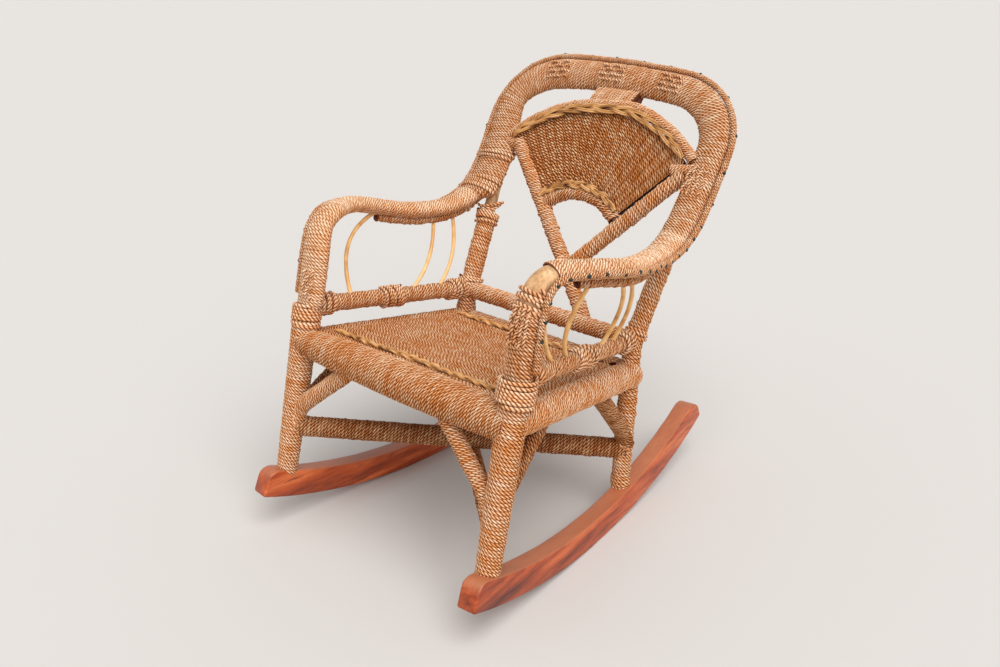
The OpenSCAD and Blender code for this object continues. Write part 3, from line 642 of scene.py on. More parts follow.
def grass_cord(name, groove_shade, low, mid, pale_and_highlight, depth, sun_fade_and_top_light=0.0):
    """Twisted grass cord: each strand's ridge is pale, partly from wear and partly as painted highlight, with
    fibres along it, and the grooves between the strands and between the turns are darkened with painted
    shade. The last argument lightens what faces up, partly sun bleaching and partly painted top light, and
    eases the painted shade in the grooves there."""
    n = Nodes(name, 0.7, 0.14)
    look, place = n.look(), n.place()
    lay = n.node("ShaderNodeSeparateXYZ", Vector=n.attribute("lay", "Vector")).outputs
    turn = n.math("FLOOR", lay[0])
    across = n.math("SUBTRACT", n.math("SUBTRACT", lay[0], turn), 0.5)
    psi = n.total(lay[1], n.times(turn, n.times(look[1], -100.0)), (across, SLANT), lay[2])
    ridge = n.math("ABSOLUTE", n.math("COSINE", n.times(psi, math.pi)))
    dome = n.math("SUBTRACT", 1.0, n.times(n.times(across, across), 3.9))
    dome = n.math("SQRT", n.math("MAXIMUM", dome, 0.0))
    crest = n.times(n.total((dome, 0.5), 0.5), n.total((n.math("POWER", ridge, 0.7), 0.85), 0.15))
    lump = n.noise(n.vector(n.times(psi, 0.8), n.times(turn, 3.7), n.times(lay[2], 2.0)), 1.0, 1.0)
    fibre = n.noise(n.vector(n.times(psi, 7.0), n.times(turn, 3.7), n.times(across, 1.5)), 1.0, 3.0, 0.65)
    patch = n.noise(place, 17.0, 3.0)
    up = n.math("MAXIMUM", n.facing_up(), 0.0)
    # Painted highlight, partly wear, lifts the strands' crests towards the palest colours; what faces up is
    # lifted too, partly sun bleaching and partly painted top light.
    value = n.total((look[0], 0.4), (lump, 0.5), (fibre, 0.6), (patch, 0.3), (crest, 0.55), (up, sun_fade_and_top_light), -0.78)
    # The palest stops stand partly for the cord's own pale fibre and partly for painted highlight.
    brightest_highlight = tuple(min(1.0, x * 1.2) for x in srgb(*pale_and_highlight))
    colour = n.ramp(value, [(0.06, srgb(*low)), (0.46, srgb(*mid)), (0.88, srgb(*pale_and_highlight)), (1.0, brightest_highlight)])
    # On what faces up the painted shade in the grooves is eased, as painted top light.
    depth = n.math("SUBTRACT", depth, n.times(up, 1.4 * sun_fade_and_top_light))
    # Painted shade: the grooves between the strands and between the turns are darkened towards the colour of
    # the grooves, as far as depth allows.
    groove_shade_mask = n.times(n.math("POWER", n.math("SUBTRACT", 1.0, crest), 1.25), depth, clamp=True)
    colour = n.mix(groove_shade_mask, colour, srgb(*groove_shade))
    speck = n.noise(place, 260.0, 2.0)
    stained = n.times(look[2], n.total((speck, 1.4), 0.1), clamp=True)
    colour = n.mix(stained, colour, STAIN)
    return n.done(colour, n.total((fibre, 0.25), 0.55), n.total(crest, (fibre, 0.22)), 0.0011, 0.6)


GRAIN = {"Y": (1.0, 0.07, 1.0), "Z": (1.0, 1.0, 0.07)}


def timber(name, dark, mid, light, scale, rough, grain, coat=0.0, worn=None):
    """Wood with long grain, pores and, where worn is given, paler upper faces and edges."""
    n = Nodes(name, rough, 0.4)
    n.bsdf.inputs["Coat Weight"].default_value = coat
    n.bsdf.inputs["Coat Roughness"].default_value = 0.3
    place = n.place()
    stretch = GRAIN[grain]
    lengthwise = n.stretched(place, stretch)
    bend = n.noise(n.stretched(place, tuple(3 * x for x in stretch)), scale * 0.35, 2.0)
    rings = n.noise(lengthwise, scale * 2.2, 6.0, 0.68)
    pores = n.noise(lengthwise, scale * 9, 3.0, 0.7)
    blotch = n.noise(place, scale * 0.22, 3.0)
    colour = n.ramp(n.total((rings, 0.62), (bend, 0.38)), [(0.34, dark), (0.50, mid), (0.66, light)])
    colour = n.mix(n.times(n.math("SUBTRACT", 0.49, pores), 3.6, clamp=True), colour, dark)
    colour = n.mix(n.above(blotch, 0.45, 2.2), colour, n.mix(0.4, colour, mid, "MULTIPLY"))
    if worn is not None:
        faded = n.times(n.above(n.facing_up(), 0.45, 2.2), n.total((blotch, 0.9), 0.2), clamp=True)
        colour = n.mix(faded, colour, worn)
        edges = n.above(n.node("ShaderNodeNewGeometry").outputs["Pointiness"], 0.53, 9.0)
        colour = n.mix(n.times(edges, n.times(n.noise(place, 60.0), 1.1), clamp=True), colour, light)
    return n.done(colour, n.total((rings, 0.22), rough - 0.1), pores, 0.0003, 0.4)


def rattan(name, dark, mid, light):
    """Split or round cane with a silky skin, long streaks and darker flecks."""
    n = Nodes(name, 0.42, 0.45)
    look = n.look()
    streak = n.noise(n.stretched(n.attribute("lay", "Vector"), (0.05, 2.2, 1.0)), 1.0, 4.0)
    patch = n.noise(n.place(), 45.0, 3.0)
    value = n.total((streak, 0.6), (patch, 0.4), (look[0], 0.35), -0.175)
    colour = n.ramp(value, [(0.30, dark), (0.50, mid), (0.72, light)])
    return n.done(colour, n.total((patch, 0.3), 0.3), streak, 0.0002, 0.35)


def tack_metal():
    """Blued steel with a dull green bloom."""
    n = Nodes("tack_metal", 0.5, 0.5)
    n.bsdf.inputs["Metallic"].default_value = 0.5
    patch = n.noise(n.place(), 400.0, 3.0)
    colour = n.ramp(patch, [(0.35, srgb(22, 26, 26)), (0.55, srgb(40, 56, 54)), (0.74, srgb(84, 108, 102))])
    return n.done(colour, n.total((patch, 0.5), 0.25), patch, 0.0002, 0.5)


# Each grass cord: the colour of its grooves, painted shade; its shaded, middle and palest colours, the palest
# partly painted highlight; the grooves' depth, which sets how dark that painted shade is; and, where given,
# how much it is lightened on what faces up, partly sun bleaching and partly painted top light.
GROOVE_SHADE_COLOUR = (80, 26, 2)
WRAP = grass_cord("grass_cord", GROOVE_SHADE_COLOUR, (168, 80, 22), (219, 139, 71), (246, 216, 184), 1.6, 0.08)
HOOP = grass_cord("grass_cord_hoop", GROOVE_SHADE_COLOUR, (156, 78, 26), (205, 132, 73), (242, 209, 174), 1.55, 0.08)
# The arms' cord: a paler copy of the hoop's, partly sun bleaching and partly painted light where light falls
# on the arms' tops.
ARM_BLEACHED_AND_LIT = grass_cord("grass_cord_arm_bleached_and_lit", (96, 42, 10), (172, 94, 40), (221, 153, 97), (244, 215, 184), 1.3, 0.15)
SEAT = grass_cord("grass_cord_seat", (74, 24, 0), (156, 74, 20), (207, 126, 61), (242, 208, 170), 1.6, 0.03)
FAN = grass_cord("grass_cord_fan", (44, 14, 0), (140, 64, 16), (194, 114, 51), (242, 202, 158), 1.75)
UNDER = grass_cord("grass_cord_shaded", (30, 10, 0), (110, 52, 14), (158, 89, 41), (228, 180, 134), 1.45)
ROCKER = timber("rocker_wood", srgb(88, 30, 10), srgb(178, 76, 32), srgb(222, 124, 70), 26.0, 0.42, "Y", 0.15,
                srgb(176, 112, 78))
POLE = timber("pole_wood", srgb(110, 72, 38), srgb(158, 112, 66), srgb(188, 144, 96), 40.0, 0.6, "Z")
BARE = timber("bare_pole", srgb(150, 104, 62), srgb(210, 164, 116), srgb(236, 200, 158), 34.0, 0.5, "Z")
CANE = rattan("cane_skin", srgb(180, 120, 58), srgb(226, 174, 106), srgb(246, 206, 146))
BRAID = rattan("rattan_braid", srgb(84, 44, 14), srgb(190, 132, 72), srgb(232, 186, 128))
TACK = tack_metal()

# ---- Camera, light and floor ----

CAMERA_AT = np.array([784.24, -866.71, 725.22])
AZIMUTH, PITCH, ROLL = 41.8034, 22.7133, -1.0114
LENS, SENSOR = 36.158, 36.0


def camera():
    """The photograph's camera: its place in millimetres, directions in degrees and lens."""
    az, el, roll = (math.radians(x) for x in (AZIMUTH, PITCH, ROLL))
    forward = Vector((-math.sin(az) * math.cos(el), math.cos(az) * math.cos(el), -math.sin(el)))
    across = Vector((math.cos(az), math.sin(az), 0))
    up = across.cross(forward)
    x = across * math.cos(roll) + up * math.sin(roll)
    y = up * math.cos(roll) - across * math.sin(roll)
    data = bpy.data.cameras.new("camera")
    data.lens, data.sensor_width = LENS, SENSOR
    data.clip_start, data.clip_end = 0.05, 60
    m = Matrix((x, y, -forward)).transposed().to_4x4()
    m.translation = Vector(CAMERA_AT * MM)
    o = new_object("camera", data)
    o.matrix_world = m
    bpy.context.scene.camera = o


def soft_sun(name, towards, strength, spread, colour):
    data = bpy.data.lights.new(name, "SUN")
    data.energy, data.angle, data.color = strength, math.radians(spread), colour
    o = new_object(name, data)
    o.rotation_euler = (-Vector(towards)).to_track_quat("-Z", "Y").to_euler()


def studio():
    """A wide pale floor under an even sky, with two soft lights."""
    me = bpy.data.meshes.new("floor")
    e = 40.0
    me.from_pydata([(-e, -e, 0), (e, -e, 0), (e, e, 0), (-e, e, 0)], [], [(0, 1, 2, 3)])
    me.materials.append(Nodes("pale_floor", 0.95, 0.1).done(srgb(203, 199, 195)))
    floor = new_object("floor", me)
    world = bpy.data.worlds.new("studio")
    world.use_nodes = True
    back = world.node_tree.nodes["Background"]
    back.inputs[0].default_value = (0.97, 0.985, 1.0, 1)
    back.inputs[1].default_value = 0.62
    bpy.context.scene.world = world
    soft_sun("sky", (0.66, -0.36, 1.3), 2.35, 50, (1.0, 0.985, 0.965))
    soft_sun("side", (1.2, -0.7, 0.55), 0.95, 60, (1.0, 1.0, 1.0))
    bpy.context.scene.view_settings.view_transform = "Standard"


camera()
studio()

# ---- Rockers ----

SOFT_EDGE, FRONT_ROUND, REAR_ROUND, TIP_HEIGHT, TIP_SOFT = 2.6, 15.0, 22.0, 9, 1.8


def board_section(p, lo, hi):
    """The board's outline at angle p: offsets across, and radii measured from the rocker's centre."""
    inner = ROCKER_R - ROCKER_DEPTH
    drop = 0.0
    for d, r in (((p - lo) * inner, FRONT_ROUND), ((hi - p) * inner, REAR_ROUND)):
        if d < r:
            drop = max(drop, r - math.sqrt(max(0, r * r - (r - d) ** 2)))
    drop = min(drop, ROCKER_DEPTH - TIP_HEIGHT)
    end = max(0.0, TIP_SOFT - min(p - lo, hi - p) * inner) * 0.9
    h, w = ROCKER_DEPTH - drop - 2 * end, ROCKER_THICK - 2 * end
    corner = [(SOFT_EDGE * (1 - math.cos(a)), SOFT_EDGE * (1 - math.sin(a)))
              for a in np.linspace(0, math.pi / 2, 5)]
    ring = []
    for sx, sy in ((1, 1), (-1, 1), (-1, -1), (1, -1)):
        points = [(sx * (w / 2 - x), sy * (h / 2 - y)) for x, y in corner]
        ring += points if sx * sy > 0 else points[::-1]
    x, y = np.array(ring).T
    x = x + 0.25 * wave(np.full(len(x), p * 30), 801) * np.sign(x)
    return x, ROCKER_R - (h / 2 + end) - y + TIP_GROW * min(1.0, (p / 0.36) ** 2) * (y < 0)


def rocker(s, name):
    """A curved board with softened edges and a rounded upper corner at each tip."""
    inner = ROCKER_R - ROCKER_DEPTH
    lo, hi = -math.radians(ROCKER_FRONT + TIP_GROW / 8), math.radians(ROCKER_REAR + TIP_GROW / 8)
    ease = 1 - np.cos(np.linspace(0, np.pi / 2, 9))
    near, far = ease * FRONT_ROUND / inner * 1.06, ease * REAR_ROUND / inner * 1.06
    rings = []
    middle = np.linspace(lo + near[-1], hi - far[-1], 90)
    for p in np.concatenate([lo + near[:-1], middle, (hi - far[:-1])[::-1]]):
        x, radius = board_section(p, lo, hi)
        rings.append(np.stack([x, radius * math.sin(p), ROCKER_R - radius * math.cos(p)], -1))
    x, y, z = np.moveaxis(np.array(rings), -1, 0)
    a = math.radians(s * ROCKER_SPLAY)
    out = s * ROCKER_OFFSET + (RIGHT_ROCKER_OUT if s == RIGHT else 0)
    shell = Shell()
    shell.grid(np.stack([x * math.cos(a) - y * math.sin(a) + out, x * math.sin(a) + y * math.cos(a), z], -1))
    shell.close(0, *x.shape)
    shell.make(name, ROCKER)


for s, which in SIDES:
    rocker(s, f"rocker_{which}")

# ---- Legs, posts, rails and braces, wound with cord ----


def leg_at(z):
    return at_height(FRONT_FOOT, FRONT_HEAD, z)


def rear_at(z):
    return at_height(REAR_FOOT, REAR_KNEE, z)


# The bound members sit a little off the bare poles where their winding is fuller on one side:
# shifts of the posts' heads and feet, of the rails' ends, and the sag of the seat's rear corner.
POST_HEAD_SHIFT = {LEFT: np.array([2.0, 0, 0]), RIGHT: np.array([0, 0, 0])}
POST_FOOT_SHIFT = {LEFT: np.array([-1.0, 0, 0]), RIGHT: np.array([-4.0, -3.0, 0])}
LEG_FOOT_SHIFT = {LEFT: np.array([0, 0, 0]), RIGHT: np.array([-2.4, 0, 0])}
POST_R, LEG_FOOT_R, LEG_HEAD_R = {LEFT: 13.5, RIGHT: 12.4}, {LEFT: 13.5, RIGHT: 14.3}, 17.5
SIDE_RAIL_R, ARM_RAIL_R = {LEFT: 16, RIGHT: 17.5}, {LEFT: 11.2, RIGHT: 10.3}
BARE_POST_R, KNEE_BLEND = 8.4, 14
CORNER_SAG = 6.0
RAIL_REAR = {LEFT: REAR_SEAT + [0, 0, -2.0], RIGHT: REAR_SEAT + [0, 0, -CORNER_SAG]}
LOW_RAIL_LIFT = {LEFT: 5.5, RIGHT: 1.5}
KNEE_END = {s: np.array([REAR_KNEE[0], REAR_KNEE[1], ARM_RAIL_BACK_Z + (5 if s == LEFT else 1)], float)
            for s in (LEFT, RIGHT)}
LEG = {}
for s, which in SIDES:
    leg = straight(side(FRONT_FOOT + LEG_FOOT_SHIFT[s], s), side(FRONT_HEAD, s), LEG_FOOT_R[s], LEG_HEAD_R)
    foot = REAR_FOOT - unit(REAR_KNEE - REAR_FOOT) * 3 + POST_FOOT_SHIFT[s]
    head = REAR_HEAD + POST_HEAD_SHIFT[s]
    bare, post = (along(rounded([side(p, s) for p in (foot, REAR_KNEE, top)], KNEE_BLEND), r)
                  for top, r in ((head, BARE_POST_R), (mix(REAR_KNEE, head, 0.72), POST_R[s])))
    rail = straight(side(FRONT_SEAT, s) - [0, 0, 1.5], side(RAIL_REAR[s], s), SIDE_RAIL_R[s])
    arm = straight(side(leg_at(ARM_RAIL_FRONT_Z), s), side(KNEE_END[s], s), ARM_RAIL_R[s])
    LEG[s] = dict(leg=leg, post=post, arm=arm)
    wound(f"front_leg_{which}_wrap", leg, WRAP, seed=100 + s)
    plain_pole(f"rear_post_{which}_core", bare, 0, BARE)
    wound(f"rear_post_{which}_wrap", post, WRAP, 4.7, seed=120 + s, loose=1.6)
    # The right side rail takes the paler wrap cord as painted light, where light falls on it; the left one
    # takes the seat's cord.
    bound(f"side_rail_{which}", rail, 5, SEAT if s == LEFT else WRAP, 4.3, seed=140 + s)
    bound(f"arm_rail_{which}", arm, 4.6, HOOP, 4.3, 5.0, seed=160 + s, loose=1.5)

front_roll = straight(side(FRONT_SEAT, LEFT), FRONT_SEAT + [0, 0, -4.4], 17.2, 20.2, swell=4.8)
wound("front_rail_wrap", front_roll, SEAT, 4.3, 5.4, seed=180, wall=5.5, round_step=1.4)
seat_back_rail = straight(side(RAIL_REAR[LEFT], LEFT), RAIL_REAR[RIGHT], 14.5)
bound("seat_back_rail", seat_back_rail, 5, WRAP, seed=190)
low_ends = [side(REAR_KNEE, s) * [1, 1, 0] + [0, 1, BACK_RAIL_Z + LOW_RAIL_LIFT[s]] for s in (LEFT, RIGHT)]
bound("back_rail", straight(*low_ends, 12.0, 11.4), 5, WRAP, 4.5, seed=200, loose=1.5)
upper_bar = straight(side(leg_at(126.5), LEFT), side(rear_at(87), RIGHT), 13.4)
bound("stretcher_upper", upper_bar, 5, UNDER, seed=210)
lower_bar = straight(side(leg_at(109), RIGHT), side(rear_at(64), LEFT), 10.9)
bound("stretcher_lower", lower_bar, 5, UNDER, seed=220)

INWARD = np.array([-1.0, 0, 0])


def brace_line(key, s):
    """A corner brace bends where it meets its leg and runs on down beside it."""
    if key == "front":
        left, right = (72, 7, 156, 12, 128, 3), (58, 4, 150, 19, 106, 5)
        x, drop, mid, mid_in, tail, tail_in = left if s == LEFT else right
        return [leg_at(tail) + INWARD * tail_in, leg_at(mid) + INWARD * mid_in,
                np.array([x, FRONT_SEAT[1], FRONT_SEAT[2] - drop])]
    if key == "side_front":
        return [leg_at(144), leg_at(150) + [0, 6, 0], mix(FRONT_SEAT, REAR_SEAT, 0.38 if s == LEFT else 0.29)]
    return [rear_at(92), rear_at(116) + [0, -11, 0], mix(FRONT_SEAT, REAR_SEAT, 0.65) - [0, 0, 4]]


BRACE_R = {("front", LEFT): 10.8, ("front", RIGHT): 9.8, ("side_front", LEFT): 8.0,
           ("side_rear", RIGHT): 11.0}
for s, which in SIDES:
    for key in ("front", "side_front", "side_rear"):
        line = along(rounded([side(p, s) for p in brace_line(key, s)], 10), BRACE_R.get((key, s), 8.5))
        plain_pole(f"brace_core_{key}_{which}", line, 4.2, POLE, "corner_brace_cores")
        wound(f"brace_{key}_{which}", line, WRAP if key == "front" else UNDER, 4.3, 5.0,
              seed=230 + 10 * s + len(key), replaced="corner_brace_wraps")

# ---- Hoop: band, its edging cord and the thin rails under the arms ----

BARE_FROM, BARE_TO = LAST - 5, LAST - 4
ARM_END_KEY = 13


def extra_width(t):
    """Extra width on the inner side: where the winding also binds the head of the left rear post,
    where the left front post carries a woven patch, and round the left shoulder."""
    rear = 15 * np.clip((t - 13.0) / 0.35, 0, 1) * np.clip((18.6 - t) / 3.2, 0, 1) ** 0.8
    front = 8.5 * np.clip((t - 0.4) / 0.5, 0, 1) * np.clip((4.2 - t) / 1.2, 0, 1)
    return rear + front + 4.5 * np.clip((t - 19) / 1.5, 0, 1) * np.clip((24 - t) / 2, 0, 1)


def band(t0, t1, swollen=True):
    """The hoop from key number t0 to t1."""
    t = np.linspace(t0, t1, int((t1 - t0) * 16) + 2)
    c, u, v, w = hoop_frame(t)
    extra = extra_width(t) * swollen
    return Member(c + u * (extra / 2)[:, None], u, v, (w + extra) / 2, HOOP_THICK / 2 + 0.07 * extra)


plain_pole("hoop_core", band(0, LAST, False), 3.6, BARE, step=4.0, around=40)
# The arms take the paler arm cord, partly painted light.
for name, t0, t1, seed in (("hoop_wrap_left_arm", 0, ARM_END_KEY, 300),
                           ("hoop_wrap_right_arm", LAST - ARM_END_KEY, BARE_FROM, 302)):
    wound(name, band(t0, t1), ARM_BLEACHED_AND_LIT, 4.3, seed=seed, wall=3.0)
for key, t0, t1 in (("left", ARM_END_KEY, LAST // 2), ("right", LAST // 2, LAST - ARM_END_KEY)):
    wound(f"hoop_wrap_back_{key}", band(t0, t1), HOOP, 4.3, seed=304 + len(key), wall=3.0,
          replaced="hoop_wrap_back")
wound("post_wrap_right", band(BARE_TO + 0.75, LAST), HOOP, 4.5, seed=310, wall=3.0, loose=1.4)
c, u, v, w = hoop_frame(np.linspace(1, LAST - 1, 800))
rim = Member(c - u * ((w + EDGE_CORD_D) / 2)[:, None], u, v, EDGE_CORD_D / 2, EDGE_CORD_D / 2)
wound("hoop_edge_cord", rim, HOOP, 3.7, 3.8, seed=320, wall=2.2, loose=0.6, round_step=1.4)
for s, which, t0, t1 in ((LEFT, "left", 8.5, 13.5), (RIGHT, "right", LAST - 10.5, LAST - 6)):
    c, u, v, w = hoop_frame(np.linspace(t0, t1, 60))
    rail = Member(c - v * (HOOP_THICK / 2 + 3.2), u, v, 8.5, 6.6)
    wound(f"under_arm_rail_{which}", rail, HOOP, 4.3, 5.0, seed=330 + s, wall=5.6, loose=1.8)


def over_under(name, t0, t1, a0, a1, count, seed, step=8.8):
    """Cords laid along the band that pass over and under its turns, like a basket."""
    m = band(t0 - 0.2, t1 + 0.2)
    s = np.linspace(0, m.length, 160)
    c, u, v, a, b = m.at(s)
    lines = []
    for i, angle in enumerate(np.radians(np.linspace(a0, a1, count))):
        k = np.cos(np.pi * (s / step + i))
        ends = np.minimum(1, np.minimum(s, m.length - s) / 4)
        lift = 2.2 * np.clip(k + 0.45, -1, 0.85) * ends - 3.6 * (1 - ends) - 0.1
        lines.append(c + u * ((a + lift) * np.cos(angle + 0.02 * wave(s / 9, seed)))[:, None]
                     + v * ((b + lift) * np.sin(angle))[:, None])
    strands(name, lines, 1.75, HOOP, seed=seed, ply=4.6)


over_under("hoop_patch_post_left", 1.1, 2.0, 62, 98, 3, 901)
over_under("hoop_patch_post_right", LAST - 3.1, LAST - 1.9, 50, 120, 5, 902)
for key, t0, t1 in (("left", 21.7, 22.5), ("middle", 24.2, 25.0), ("right", 26.9, 27.7)):
    over_under(f"hoop_patch_top_{key}", t0, t1, 70, 128, 4, 903 + int(t0))
over_under("hoop_patch_side_right", 33.6, 34.8, 52, 120, 4, 909)

# ---- Fan-shaped back panel ----

for key, head, foot, knot in (("left", *POLE_LEFT, (11.5, -1, -17)), ("right", *POLE_RIGHT, None)):
    points = [fan(*p) for p in (foot, knot, head) if p]
    pole = along(rounded(points, 16), FAN_POLE_R, FAN_FRONT) if knot else straight(*points, FAN_POLE_R)
    plain_pole(f"fan_pole_rising_{key}", pole, 5, POLE)
    wound(f"fan_pole_wrap_{key}", pole, WRAP, 4.6, seed=400 + len(key), wall=3.4, loose=1.8,
          replaced="fan_pole_wraps")
arch = fan_arc(FAN_R, FAN_TUBE_R, FAN_HALF, spread=FAN_SPREAD)
bound("fan_arch", arch, 3.2, WRAP, 4.2, 5.0, seed=410, wall=3.0)
inner_arch = fan_arc(FAN_INNER_R - 1.5, FAN_TUBE_R + 1.7, FAN_HALF)
wound("fan_inner_arch_wrap", inner_arch, WRAP, 4.8, seed=420, wall=3.0, loose=2.6)

# The neck: a flat bound block between the hoop's middle and the top of the arch.
hoop_c, hoop_u, _, hoop_w = (x[0] for x in hoop_frame(np.array([LAST / 2])))
arch_top, hoop_edge = fan(0, 0, FAN_R), hoop_c + hoop_u * hoop_w / 2
gap = arch_top - hoop_edge
middle = mix(hoop_edge, arch_top, 0.5)
neck_line = np.stack([middle + [x, 0, -0.00045 * x * x] for x in np.linspace(-27, 38, 30)])
neck_u, neck_v = (np.broadcast_to(d, neck_line.shape) for d in (unit(gap), np.cross(unit(gap), (1, 0, 0))))
neck = Member(neck_line, neck_u, neck_v, np.linalg.norm(gap) / 2 + 8.5, 9.0)
wound("fan_neck", neck, HOOP, seed=430, wall=7)
for s, which in SIDES:
    tie = straight([s * 124, 200, 424], [s * 152, 204, 427], 9)
    wound(f"fan_side_tie_{which}", tie, WRAP, 4.3, 5.0, seed=440 + s, replaced="fan_side_ties")

WEAVE_IN, WEAVE_OUT = FAN_INNER_R + FAN_TUBE_R - 4, FAN_R - FAN_TUBE_R + 4
STAKE_STEP = (2 * FAN_HALF - 14) / 16


def fan_face(p, q):
    a = np.radians(90 - p)
    return fan(q * np.cos(a), -5.0, q * np.sin(a))


edge_angle = FAN_HALF - 1.5
woven("fan_weave", fan_face, FAN_FRONT, np.linspace(-edge_angle, edge_angle, 261),
      np.linspace(WEAVE_IN, WEAVE_OUT, 186), lambda p, q: p / STAKE_STEP + 40, 4.7, 2.0, 10, FAN, 500, 5.0,
      length_of=lambda p, q: np.radians(p) * q + 400, brick=0.5, shade=0.4)

# ---- Seat ----

SEAT_TOP, FIELD_Y0, FIELD_Y1 = 16.6, 8.0, SEAT_RUN - 32


def seat_half(y):
    return mix(FRONT_SEAT[0], REAR_SEAT[0], y / SEAT_RUN)


def sag(p, q):
    """How far the seat has settled towards its rear right corner."""
    return (CORNER_SAG - 1) * np.clip((p + 1) / 2, 0, 1) * np.clip(q / SEAT_RUN, 0, 1) ** 1.5


def seat_face(p, q):
    """The woven field: p from -1 to 1 across, q back from the front rail."""
    edge = 5.5 * np.clip((np.abs(p) - 0.84) / 0.13, 0, 1) ** 2 + 2.5 * (q / SEAT_RUN) ** 2
    dish = 1.6 * (1 - p * p) * np.sin(np.pi * q / SEAT_RUN)
    return seat(p * seat_half(q), q, SEAT_TOP - dish - edge - sag(p, q))


def apron_face(p, q):
    """The strip that turns down over the rear rail: p in millimetres across."""
    return seat(p, q, SEAT_TOP - 2.4 - sag(p / 146, q) - 0.035 * np.maximum(0, q - SEAT_RUN + 22) ** 2)


SEAT_UP, SEAT_BACKWARD = seat(0, 0, 1) - seat(0, 0, 0), seat(0, 1, 0) - seat(0, 0, 0)
woven("seat_weave", seat_face, SEAT_UP, np.linspace(-0.97, 0.97, 205), np.linspace(FIELD_Y0, FIELD_Y1, 240),
      lambda p, q: p * 160 / 10.5 + 50, 4.6, 0.35, 9, SEAT, 520, 5.6,
      length_of=lambda p, q: p * seat_half(q) + 400)
woven("seat_rear_apron", apron_face, SEAT_UP, np.linspace(-128, 128, 300),
      np.linspace(FIELD_Y1 - 3, SEAT_RUN - 4, 22), lambda p, q: p * 0 + q / 300 + 20.2, 4.3, 0.2, 6,
      SEAT, 540, 5.0, replaced="seat_weave")

# ---- Braids of cane, each strand a pair ----

BRAID_R, BRAID_HIGH = 1.3, 1.5


def braid(name, centre, lateral, normal, width, wavelength, count):
    """A flat plait of count pairs along the line centre; its ends taper."""
    s = distance_along(centre)
    lines, shades = [], []
    width = width * np.clip(np.minimum(s, s[-1] - s) / 16, 0.25, 1)
    for i in range(count):
        k = 2 * np.pi * (s / wavelength + i / count) + 0.25 * wave(s / 45, 40 + i)
        for twin in (-0.5, 0.5):
            # Painted shade where a pair dips under the others, and a little painted light where it rides over
            # them.
            shades.append(0.42 * np.clip(np.sin(2 * k), -1, 0.3) - 0.05)
            rise = BRAID_HIGH * np.sin(2 * k) + 0.5 * wave(s / 30, 70 + i) + 0.3 * twin
            lines.append(centre + lateral * (width * np.sin(k) + twin * 1.7 * BRAID_R)[:, None]
                         + normal * rise[:, None])
    strands(name, lines, BRAID_R, BRAID, seed=600 + count, step=1.6, shades=shades)


for name, y, half in (("seat_braid_front", 26, 140), ("seat_braid_back", SEAT_RUN - 36, 122)):
    x = np.linspace(-half, half, 200)
    height = SEAT_TOP + 1.2 - 2.5 * (y / SEAT_RUN) ** 2 - sag(x / 150, y)
    braid(name, seat(x, y + 1.5 * wave(x / 40, 9), height), SEAT_BACKWARD, SEAT_UP, 3.2, 54, 3)
for name, radius, half, spread, width, wavelength, count in (
        ("fan_braid_top", FAN_R - 7, 42, FAN_SPREAD, 4.3, 108, 4),
        ("fan_braid_bottom", FAN_INNER_R + 8, 41, 0, 3.3, 60, 3)):
    arc = fan_arc(radius, 1, half, -9.4, spread)
    braid(name, arc.c, arc.u, arc.v, width, wavelength, count)

# ---- Bent canes under the arms ----

ARM_START = leg_at(ARM_RAIL_FRONT_Z)
ARM_START = ARM_START + unit(KNEE_END[RIGHT] - ARM_START) * (HOOP_THICK / 2 + 0.6)
CANES = {LEFT: [(-6, -91, -26, 0), (76, 5, 11, 1), (105, 50, 12.5, 1)],
         RIGHT: [(-98, -88, -16, 0), (-64, -58, -17, 1), (-8, 19, 14, 1), (18, 46, 13, 1)]}
CANE_R = 2.6


def cane(s, head_y, foot_y, bow, rail):
    """A cane from the arm rail up to the arm, or to the rail under it, bowed to the back."""
    f = (foot_y - ARM_START[1]) / (KNEE_END[s][1] - ARM_START[1])
    foot = side(mix(ARM_START, KNEE_END[s], f) + [0, 0, 7], s)
    arm_keys = range(4, 14)
    t = float(np.interp(head_y, [HOOP_HALF[k][1] for k in arm_keys], arm_keys))
    c, _, v, _ = hoop_frame(np.array([t if s == LEFT else LAST - t]))
    head = c[0] - v[0] * ((HOOP_THICK / 2 + 8) if rail else (HOOP_THICK / 2 - 3))
    k = np.linspace(0, 1, 60)[:, None]
    chord = unit(head - foot)
    out = np.array([0, np.sign(bow), 0])
    out = unit(out - chord * np.dot(out, chord))
    return mix(foot, head, k) + out * abs(bow) * np.sin(np.pi * k) ** 0.85


for s, which in SIDES:
    lines = [cane(s, *c) for c in CANES[s]]
    strands(f"side_canes_{which}", lines, CANE_R, CANE, seed=650 + s, sides=12, step=2.0)


# ---- Lashings: separate cords wound over the joints ----


def lash(m, s0, s1, turns, lift, seed, spread=0.8, start=0.0):
    """A cord wound over a member from s0 to s1, with turns that ride up on each other."""
    k = np.linspace(0, turns, int(turns * 36) + 2)
    angle = 2 * np.pi * k
    s = s0 + (s1 - s0) * k / turns + spread * (2.2 * wave(k * 1.9 + 3, seed) + 1.5 * np.sin(angle + seed))
    c, u, v, a, b = m.at(np.clip(s, 0, m.length))
    angle = angle + start
    over = lift + spread * 0.9 * np.abs(wave(k * 2.7, seed + 1))
    beyond = np.where(s < 0, s, np.maximum(s - m.length, 0))
    return (c + tangents(m.c)[0] * beyond[:, None]
            + u * ((a + over) * np.cos(angle))[:, None] + v * ((b + over) * np.sin(angle))[:, None])


def lashing(name, lines, seed, material=WRAP, r=2.2, ply=5.0):
    strands(name, lines, r, material, seed=seed, sides=10, ply=ply)


